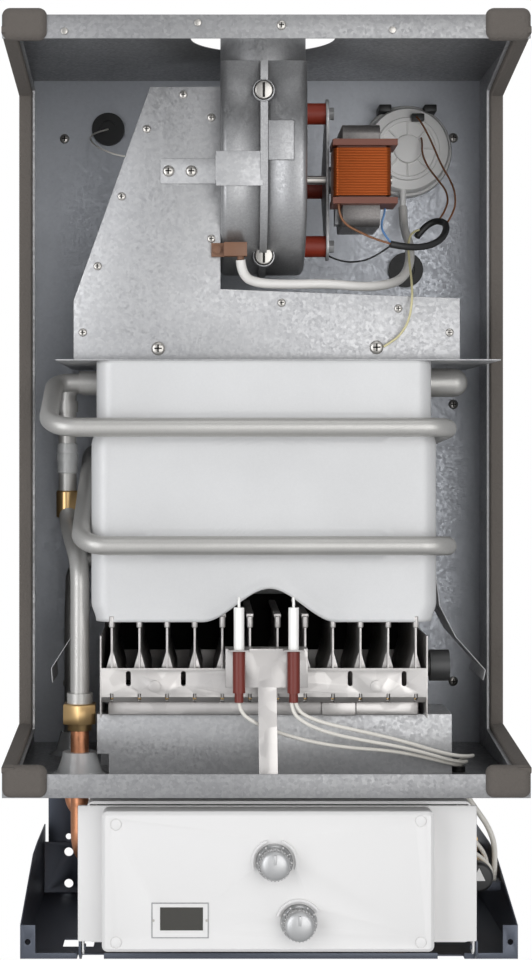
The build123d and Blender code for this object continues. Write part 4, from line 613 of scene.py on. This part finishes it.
class HEATER_OT_chamber(bpy.types.Operator):
    """The chamber's skin, drawn level by level, with two beads and an arch"""
    bl_idname = "heater.chamber"
    bl_label = "Combustion chamber"

    def execute(self, context):
        bm = bmesh.new()
        loops = []
        for row in range(SHELL_ROWS + 1):
            t = row / SHELL_ROWS
            ring = []
            level = SHELL["bottom"] + (SHELL["top"] - SHELL["bottom"]) * t
            shrink = smooth_step((level - SHELL["step"] + 9) / 18)
            half = SHELL["half_low"] + (SHELL["half_top"] - SHELL["half_low"]) * shrink
            tuck = FOOT_TUCK * (1 - smooth_step((level - SHELL["bottom"]) / FOOT_HEIGHT))
            for x, depth, on_front in shell_loop(half - tuck * 0.6, SHELL["radius"]):
                height = level
                forward = 0.0
                if on_front:
                    lift = arch_rise(SHELL["centre"] + x)
                    height = SHELL["bottom"] + lift + (SHELL["top"] - SHELL["bottom"] - lift) * t
                    forward = bead_rise(SHELL["centre"] + x, height)
                    hem = height - SHELL["bottom"] - lift
                    forward += HEM_RISE * smooth_step((6 - abs(hem - 2)) / 4) * (1 if abs(x) < half - 20 else 0)
                ring.append(bm.verts.new(spot(SHELL["centre"] + x, depth + forward, height)))
            loops.append(ring)
        for low, high in zip(loops, loops[1:]):
            count = len(low)
            for index in range(count):
                after = (index + 1) % count
                bm.faces.new((low[index], low[after], high[after], high[index]))
        piece = finish_piece("chamber_skin", bm, "chamber", "body", ("chamber_shell",), 60)
        wall = piece.modifiers.new("wall", "SOLIDIFY")
        wall.thickness = SHELL_WALL * MM
        wall.offset = -1
        return {"FINISHED"}


# Fan housing

FAN_DEPTH, FAN_HEIGHT, SCROLL_RADIUS, FAN_HALF = 155.0, 681.0, 86.0, 37.5
NECK_DEPTH, NECK_RADIUS, HOUSING_TOP = 203.5, 37.5, 773.0
SCROLL_STEPS = 60
CAST_ROUNDING, CAST_WALL = 13, 2.0
SEAM_HALF = 3.2


def scroll_outline(x, grow=0.0):
    """The housing's outline in a plane across X: a round scroll with a straight neck in front of its axis."""
    radius = SCROLL_RADIUS + grow
    front = NECK_DEPTH + NECK_RADIUS + grow
    back = NECK_DEPTH - NECK_RADIUS
    points = [spot(x, front, HOUSING_TOP), spot(x, front, FAN_HEIGHT + 1)]
    back_angle = math.degrees(math.acos((back - FAN_DEPTH) / radius))
    for step in range(SCROLL_STEPS + 1):
        angle = math.radians(-(360 - back_angle) * step / SCROLL_STEPS)
        points.append(spot(x, FAN_DEPTH + radius * math.cos(angle), FAN_HEIGHT + radius * math.sin(angle)))
    points.append(spot(x, back, HOUSING_TOP))
    return points


class HEATER_OT_fan(bpy.types.Operator):
    """The two cast half shells with rounded outer edges, their seam, slotted screws and raised panel; the screws'
    grooves and slots are painted shade
    """
    bl_idname = "heater.fan"
    bl_label = "Fan housing"

    def execute(self, context):
        for node, direction in (("fan_housing_left", -1), ("fan_housing_right", 1)):
            bm = bmesh.new()
            base = bm.faces.new([bm.verts.new(p) for p in scroll_outline(0)])
            pushed = bmesh.ops.extrude_face_region(bm, geom=[base])
            moved = [v for v in pushed["geom"] if isinstance(v, bmesh.types.BMVert)]
            bmesh.ops.translate(bm, verts=moved, vec=Vector((direction * FAN_HALF * MM, 0, 0)))
            outer = [f for f in pushed["geom"] if isinstance(f, bmesh.types.BMFace)]
            rim = list({e for f in outer for e in f.edges
                        if min(v.co.z for v in e.verts) < spot(0, 0, HOUSING_TOP).z - 1e-6})
            bmesh.ops.bevel(bm, geom=rim, offset=CAST_ROUNDING * MM, offset_type="OFFSET", segments=8, profile=0.5,
                            affect="EDGES", clamp_overlap=True, material=-1)
            seam = [f for f in bm.faces if all(abs(v.co.x) < 1e-6 for v in f.verts)]
            bmesh.ops.delete(bm, geom=seam, context="FACES_ONLY")
            top = [f for f in bm.faces if all(abs(v.co.z - spot(0, 0, HOUSING_TOP).z) < 1e-6 for v in f.verts)]
            bmesh.ops.delete(bm, geom=top, context="FACES_ONLY")
            piece = finish_piece(f"{node}_cast", bm, "cast_grey", "body", (node,), 50)
            wall = piece.modifiers.new("wall", "SOLIDIFY")
            wall.thickness = CAST_WALL * MM
            wall.offset = -1
        bm = bmesh.new()
        outer = scroll_outline(-SEAM_HALF, 2.0)
        inner = scroll_outline(-SEAM_HALF, -1.0)
        count = len(outer)
        for shift in (0.0, 2 * SEAM_HALF * MM):
            for ring in (outer, inner):
                for p in ring:
                    bm.verts.new(p + Vector((shift, 0, 0)))
        bm.verts.ensure_lookup_table()
        rings = [bm.verts[index * count:(index + 1) * count] for index in range(4)]
        for a, b in ((0, 1), (0, 2), (1, 3), (2, 3)):
            for index in range(count - 1):
                bm.faces.new((rings[a][index], rings[a][index + 1], rings[b][index + 1], rings[b][index]))
        finish_piece("fan_seam", bm, "cast_grey", "body", (), 35)
        bm = bmesh.new()
        face = FAN_DEPTH + SCROLL_RADIUS
        add_box(bm, 3, 26, face - 4, face + 1.0, 687, 722, 1.0, 3)
        screws = bmesh.new()
        # The ring groove round each clamp screw and the screw's slot are near-black marks: painted shade standing in
        # for these recesses.
        grooves = bmesh.new()
        for x, height in ((-0.5, 747), (0.7, 608)):
            depth = face if height > FAN_HEIGHT else FAN_DEPTH + math.sqrt(SCROLL_RADIUS ** 2 - 73 ** 2) + 2
            add_bar(bm, spot(x, depth - 6, height), spot(x, depth + 3.0, height), 9.8, 1.0, 40)
            add_bar(grooves, spot(x, depth + 2.0, height), spot(x, depth + 3.15, height), 8.6, 0, 40)
            add_bar(screws, spot(x, depth + 2.0, height), spot(x, depth + 5.0, height), 7.7, 1.2, 40)
            add_box(grooves, x - 1.1, x + 1.1, depth + 4.7, depth + 5.1, height - 6.4, height + 6.4)
        finish_piece("fan_clamps", bm, "cast_grey")
        finish_piece("fan_screws", screws, "screw_steel")
        finish_piece("fan_clamp_slots", grooves, "painted_shade_black")
        return {"FINISHED"}


# Motor winding

class HEATER_OT_winding(bpy.types.Operator):
    """One enamelled wire, wound round the bobbin in close turns"""
    bl_idname = "heater.winding"
    bl_label = "Motor winding"

    def execute(self, context):
        turns = looks().winding_turns
        low, high = 659.5, 701.5
        x0, x1, d0, d1, corner = 61.8, 111.2, 177.0, 218.2, 5.0
        loop = []
        for cx, cd, start in ((x0 + corner, d0 + corner, 270), (x0 + corner, d1 - corner, 180),
                              (x1 - corner, d1 - corner, 90), (x1 - corner, d0 + corner, 0)):
            for step in range(7):
                angle = math.radians(start - 90 * step / 6)
                loop.append((cx + corner * math.cos(angle), cd + corner * math.sin(angle)))
        curve = bpy.data.curves.new("motor_winding", "CURVE")
        curve.dimensions = "3D"
        pitch = (high - low) / turns
        curve.bevel_depth = pitch * 0.56 * MM
        curve.bevel_resolution = 2
        spline = curve.splines.new("POLY")
        total = turns * len(loop)
        spline.points.add(total - 1)
        for index in range(total):
            x, depth = loop[index % len(loop)]
            height = low + (high - low) * index / total
            spline.points[index].co = (*spot(x, depth, height), 1)
        curve.materials.append(paint("copper_wire"))
        piece = bpy.data.objects.new("motor_winding", curve)
        context.scene.collection.objects.link(piece)
        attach(piece, "body")
        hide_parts("coil_winding")
        return {"FINISHED"}


# Screws

SCREWS = (
    [(x, 215.0, z, 3.6) for x, z in ((-70, 748), (-45.5, 728), (-102, 718), (-124, 659), (-45.5, 622),
                                     (-145, 598), (-158, 540), (16, 566), (118, 561), (163, 540))]
    + [(x, 215.0, z, 6.0) for x, z in ((-92, 526), (99, 527))]
    + [(x, 0.0, z, 4.7) for x, z in ((-189, 742), (193, 743), (193, 481), (193, 209), (-186, 207), (-188, 481))]
    + [(x, 216.2, 681.0, 5.0) for x in (-83, -63)]
    + [(12.6, 300.0, 791.0, 4.0)]
)


class HEATER_OT_screws(bpy.types.Operator):
    """Domed screw heads with cross recesses, the recesses drawn as flat near-black marks of painted shade"""
    bl_idname = "heater.screws"
    bl_label = "Screws"

    def execute(self, context):
        heads = bmesh.new()
        slots = bmesh.new()
        for x, depth, height, radius in SCREWS:
            thickness = radius * 0.5
            profile = [(radius, 0), (radius, thickness * 0.25)]
            profile += [(radius * math.cos(math.radians(a)), thickness * (0.25 + 0.75 * math.sin(math.radians(a))))
                        for a in (20, 40, 60, 80)]
            profile.append((0.0, thickness))
            add_lathe(heads, profile, spot(x, depth, height), (0, -1, 0), 24)
            arm, width = radius * 0.55, radius * 0.11
            top = depth + thickness
            # Each cross recess is a flat near-black mark standing just proud of the head: painted shade in place of
            # the recess.
            add_box(slots, x - arm, x + arm, top - 0.4, top + 0.08, height - width, height + width)
            add_box(slots, x - width, x + width, top - 0.4, top + 0.08, height - arm, height + arm)
        finish_piece("screw_heads", heads, "screw_steel", "body", ("sheet_screws",), 40)
        finish_piece("screw_slots", slots, "painted_shade_black")
        return {"FINISHED"}


# Pressure switch

class HEATER_OT_switch(bpy.types.Operator):
    """The round white pressure switch with its raised rings, ribs and terminal"""
    bl_idname = "heater.pressure_switch"
    bl_label = "Pressure switch"

    def execute(self, context):
        bm = bmesh.new()
        centre = spot(145.5, 0, 728)
        add_lathe(bm, [(0, 0), (44.5, 0), (44.5, 12), (43.5, 14), (41.5, 14), (41, 24), (39, 27), (31, 28),
                       (30, 30), (27, 30), (26, 28), (14, 28), (13, 31.5), (11, 32), (0, 32)], centre, (0, -1, 0), 72)
        for angle in range(0, 180, 45):
            turn = math.radians(angle)
            along = Vector((math.cos(turn), 0, math.sin(turn)))
            add_bar(bm, centre + along * 26 * MM + Vector((0, -28.5 * MM, 0)),
                    centre - along * 26 * MM + Vector((0, -28.5 * MM, 0)), 1.1, 0, 12)
        add_bar(bm, spot(141, 24, 672), spot(141, 24, 690), 3.0, 0.4, 24)
        finish_piece("pressure_switch_body", bm, "switch_white", "body", ("pressure_switch",), 35)
        bm = bmesh.new()
        add_box(bm, 148.5, 160.5, 28, 38, 754, 761, 0.8)
        add_box(bm, 117.5, 129.5, 0, 30, 764, 771, 1.0)
        add_box(bm, 161.5, 173.5, 0, 30, 764, 771, 1.0)
        finish_piece("switch_clips", bm, "black_plastic")
        return {"FINISHED"}


# Knobs

class HEATER_OT_knobs(bpy.types.Operator):
    """Two plated knobs with a fluted rim, a domed cap, a pointer ridge and a ring of dots"""
    bl_idname = "heater.knobs"
    bl_label = "Knobs"

    def execute(self, context):
        for node, body, x, height in (("knob_heating", "heating_knob", 6.7, 95.0),
                                      ("knob_water", "water_knob", 27.0, 45.0)):
            base = spot(x, 300.3, height)
            skirt = bmesh.new()
            add_lathe(skirt, [(0, 0), (15.3, 0), (15.3, 2.5), (14.6, 4), (13.2, 5), (12.6, 14), (12, 16), (0, 16)],
                      base, (0, -1, 0), 64)
            for flute in range(28):
                turn = 2 * math.pi * flute / 28
                along = Vector((math.cos(turn), 0, math.sin(turn))) * 12.9 * MM
                add_bar(skirt, base + along + Vector((0, -0.005, 0)), base + along + Vector((0, -0.0145, 0)), 0.7,
                        0.3, 8)
            add_bar(skirt, spot(x, 297.5, height), spot(x, 300.4, height), 3.0)
            finish_piece(f"{node}_skirt", skirt, "knob_chrome", body, (node,), 40)
            cap = bmesh.new()
            add_lathe(cap, [(0, 15.5), (12.2, 15.5), (12.2, 16.4), (11.4, 17.5), (9.0, 18.7), (6.0, 19.5),
                            (3.0, 19.9), (0, 20.0)], base, (0, -1, 0), 48)
            add_box(cap, x - 1.2, x + 1.2, 318.0, 320.6, height + 1.5, height + 9.5, 0.5, 3)
            finish_piece(f"{node}_cap", cap, "knob_silver", body, (), 40)
            dots = bmesh.new()
            for index in range(11):
                turn = math.radians(120 + 30 * index)
                place = base + Vector((math.cos(turn), 0, math.sin(turn))) * 14.2 * MM + Vector((0, -0.0042, 0))
                bmesh.ops.create_icosphere(dots, subdivisions=2, radius=0.85 * MM, matrix=Matrix.Translation(place))
            finish_piece(f"{node}_dots", dots, "box_white", body, (), 60)
        return {"FINISHED"}


# Small extras that the frame leaves to the looks

BURNER_BARS = 12
BURNER_PITCH = 24.0


class HEATER_OT_trim(bpy.types.Operator):
    """Burner heads with painted shade behind them, pipe band and wrap, rivets, the tray's face, display and tap
    pointer
    """
    bl_idname = "heater.trim"
    bl_label = "Trim"

    def execute(self, context):
        heads = bmesh.new()
        for index in range(BURNER_BARS):
            x = (index - (BURNER_BARS - 1) / 2) * BURNER_PITCH
            add_box(heads, x - 3.2, x + 3.2, 76, 225, 291, 295.2, 1.2, 2)
            add_bar(heads, spot(x, 226.5, 283), spot(x, 226.5, 293), 2.6, 0.8, 16)
        finish_piece("burner_heads", heads, "burner_steel")
        band = bmesh.new()
        add_lathe(band, [(8.5, 0), (9.6, 0), (10.4, 1.2), (10.4, 23.8), (9.6, 25), (8.5, 25)],
                  spot(-179, 104, 374), (0, 0, 1), 40)
        finish_piece("pipe_band", band, "brass")
        wrap = bmesh.new()
        random.seed(4)
        profile = [(8.45, 0)] + [(9.3 + random.uniform(0, 1.3), h) for h in range(1, 28, 2)] + [(8.45, 28)]
        add_lathe(wrap, profile, spot(-179, 104, 415), (0, 0, 1), 28)
        finish_piece("pipe_wrap", wrap, "clear_plastic")
        rivets = bmesh.new()
        for x, height in ((-168, 786), (-57, 793), (105, 787)):
            add_bar(rivets, spot(x, 300, height), spot(x, 301.2, height), 3.0, 0.6, 24)
        finish_piece("flange_rivets", rivets, "screw_steel")
        # A near-black sheet behind the burner bars, with blocks in the gaps between their feet: painted shade where
        # the gaps between the bars fall dark.
        backing = bmesh.new()
        add_box(backing, -146, 146, 66.5, 68.0, 214, 300)
        for index in range(BURNER_BARS + 1):
            x = (index - BURNER_BARS / 2) * BURNER_PITCH
            add_box(backing, x - 6, x + 6, 80, 84, 276.5, 286)
        finish_piece("burner_painted_shade", backing, "painted_shade_black")
        face = bmesh.new()
        add_box(face, -158.5, 178.5, 272.4, 275.6, 22.5, 137.5, 1.2)
        finish_piece("tray_face", face, "box_white", "control_box")
        lcd = bmesh.new()
        add_box(lcd, -88.4, -52.7, 300.6, 301.2, 38.3, 57.5)
        finish_piece("display_glass", lcd, "display_dark", "control_box")
        bezel = bmesh.new()
        add_box(bezel, -95.6, -47.9, 299.0, 300.45, 31.6, 61.2)
        finish_piece("display_edge", bezel, "cast_grey", "control_box")
        bezel = bmesh.new()
        add_box(bezel, -94.6, -48.9, 299.2, 300.7, 32.6, 60.2)
        add_box(bezel, -90.0, -51.1, 300.2, 300.95, 36.7, 59.1)
        finish_piece("display_bezel", bezel, "box_white", "control_box", ("display_window",))
        dots = bmesh.new()
        for x in (-94.0, -49.5):
            add_bar(dots, spot(x, 300.8, 46.5), spot(x, 301.25, 46.5), 1.1, 0.0, 16)
        finish_piece("bezel_screws", dots, "screw_steel", "control_box")
        pointer = bmesh.new()
        triangle = [spot(190.5, 202.0, 69.0), spot(185.0, 202.0, 57.5), spot(196.0, 202.0, 57.5)]
        add_prism(pointer, triangle, Vector((0, -0.0005, 0)))
        finish_piece("tap_pointer", pointer, "box_white", "tap_knob")
        return {"FINISHED"}


# Stage

def area_light(name, place, target, size, power, colour=(1, 1, 1)):
    lamp = bpy.data.lights.new(name, "AREA")
    lamp.shape = "RECTANGLE"
    lamp.size, lamp.size_y = size
    lamp.energy = power
    lamp.color = colour
    holder = bpy.data.objects.new(name, lamp)
    holder.location = place
    holder.rotation_euler = (Vector(target) - Vector(place)).to_track_quat("-Z", "Y").to_euler()
    bpy.context.scene.collection.objects.link(holder)


def white_to_camera(material, colour):
    """A stage material that is plain white to the camera, and a pale tone to the rest."""
    tree = material.node_tree
    shader = tree.nodes["Principled BSDF"]
    shader.inputs["Base Color"].default_value = (*colour, 1)
    shader.inputs["Roughness"].default_value = 0.9
    glow = tree.nodes.new("ShaderNodeEmission")
    glow.inputs["Color"].default_value = (1, 1, 1, 1)
    glow.inputs["Strength"].default_value = 1.0
    mix = tree.nodes.new("ShaderNodeMixShader")
    path = tree.nodes.new("ShaderNodeLightPath")
    link(tree, path, "Is Camera Ray", mix, "Fac")
    tree.links.new(shader.outputs[0], mix.inputs[1])
    tree.links.new(glow.outputs[0], mix.inputs[2])
    tree.links.new(mix.outputs[0], tree.nodes["Material Output"].inputs["Surface"])


class HEATER_OT_stage(bpy.types.Operator):
    """A pale floor, soft studio lights and a white world"""
    bl_idname = "heater.stage"
    bl_label = "Stage"

    def execute(self, context):
        pale = bpy.data.materials.new("stage")
        pale.use_nodes = True
        white_to_camera(pale, (0.8, 0.8, 0.8))
        bm = bmesh.new()
        bmesh.ops.create_grid(bm, x_segments=1, y_segments=1, size=3.0, matrix=Matrix.Translation((0, -0.5, -0.35)))
        mesh = bpy.data.meshes.new("floor")
        bm.to_mesh(mesh)
        bm.free()
        mesh.materials.append(pale)
        floor = bpy.data.objects.new("floor", mesh)
        context.scene.collection.objects.link(floor)
        power = looks().lamp_power
        area_light("key", (0.88, -2.3, 0.55), (0, -0.1, 0.45), (1.9, 2.0), power)
        area_light("fill", (-1.5, -1.9, 0.6), (0.1, -0.1, 0.4), (1.2, 2.0), power * 0.9, (0.97, 0.98, 1.0))
        area_light("top", (0.2, -0.9, 1.9), (0, -0.1, 0.4), (1.2, 0.8), power * 0.14)
        world = bpy.data.worlds.new("studio")
        world.use_nodes = True
        tree = world.node_tree
        backing = tree.nodes["Background"]
        backing.inputs["Color"].default_value = (0.9, 0.92, 0.95, 1)
        backing.inputs["Strength"].default_value = 0.42
        white = tree.nodes.new("ShaderNodeBackground")
        white.inputs["Color"].default_value = (1, 1, 1, 1)
        white.inputs["Strength"].default_value = 1.0
        mix = tree.nodes.new("ShaderNodeMixShader")
        path = tree.nodes.new("ShaderNodeLightPath")
        link(tree, path, "Is Camera Ray", mix, "Fac")
        tree.links.new(backing.outputs[0], mix.inputs[1])
        tree.links.new(white.outputs[0], mix.inputs[2])
        tree.links.new(mix.outputs[0], tree.nodes["World Output"].inputs["Surface"])
        context.scene.world = world
        context.scene.view_settings.view_transform = "Standard"
        return {"FINISHED"}


class HEATER_PT_panel(bpy.types.Panel):
    bl_label = "Gas water heater"
    bl_idname = "HEATER_PT_panel"
    bl_space_type = "VIEW_3D"
    bl_region_type = "UI"
    bl_category = "Heater"

    def draw(self, context):
        layout = self.layout
        s = context.scene.heater_looks
        for name in ("galvanised_light", "galvanised_dark", "panel_colour", "chamber_colour", "pipe_colour",
                     "foam_colour", "box_colour", "copper_colour", "spangle_size", "lamp_power",
                     "winding_turns"):
            layout.prop(s, name)
        for name in STEPS:
            layout.operator(f"heater.{name}")


STEPS = ("materials", "camera", "cords", "sheet_metal", "seals", "chamber", "fan", "winding", "screws",
         "pressure_switch", "knobs", "trim", "stage")
CLASSES = (
    HeaterLooks, HEATER_OT_materials, HEATER_OT_camera, HEATER_OT_cords, HEATER_OT_sheet_metal, HEATER_OT_seals,
    HEATER_OT_chamber, HEATER_OT_fan, HEATER_OT_winding, HEATER_OT_screws, HEATER_OT_switch, HEATER_OT_knobs,
    HEATER_OT_trim, HEATER_OT_stage, HEATER_PT_panel,
)


def register():
    for item in CLASSES:
        bpy.utils.register_class(item)
    bpy.types.Scene.heater_looks = bpy.props.PointerProperty(type=HeaterLooks)


def unregister():
    del bpy.types.Scene.heater_looks
    for item in reversed(CLASSES):
        bpy.utils.unregister_class(item)


def main():
    register()
    bpy.ops.heater.materials()
    bpy.ops.heater.camera()
    bpy.ops.heater.cords()
    bpy.ops.heater.sheet_metal()
    bpy.ops.heater.seals()
    bpy.ops.heater.chamber()
    bpy.ops.heater.fan()
    bpy.ops.heater.winding()
    bpy.ops.heater.screws()
    bpy.ops.heater.pressure_switch()
    bpy.ops.heater.knobs()
    bpy.ops.heater.trim()
    bpy.ops.heater.stage()


if __name__ == "__main__":
    main()
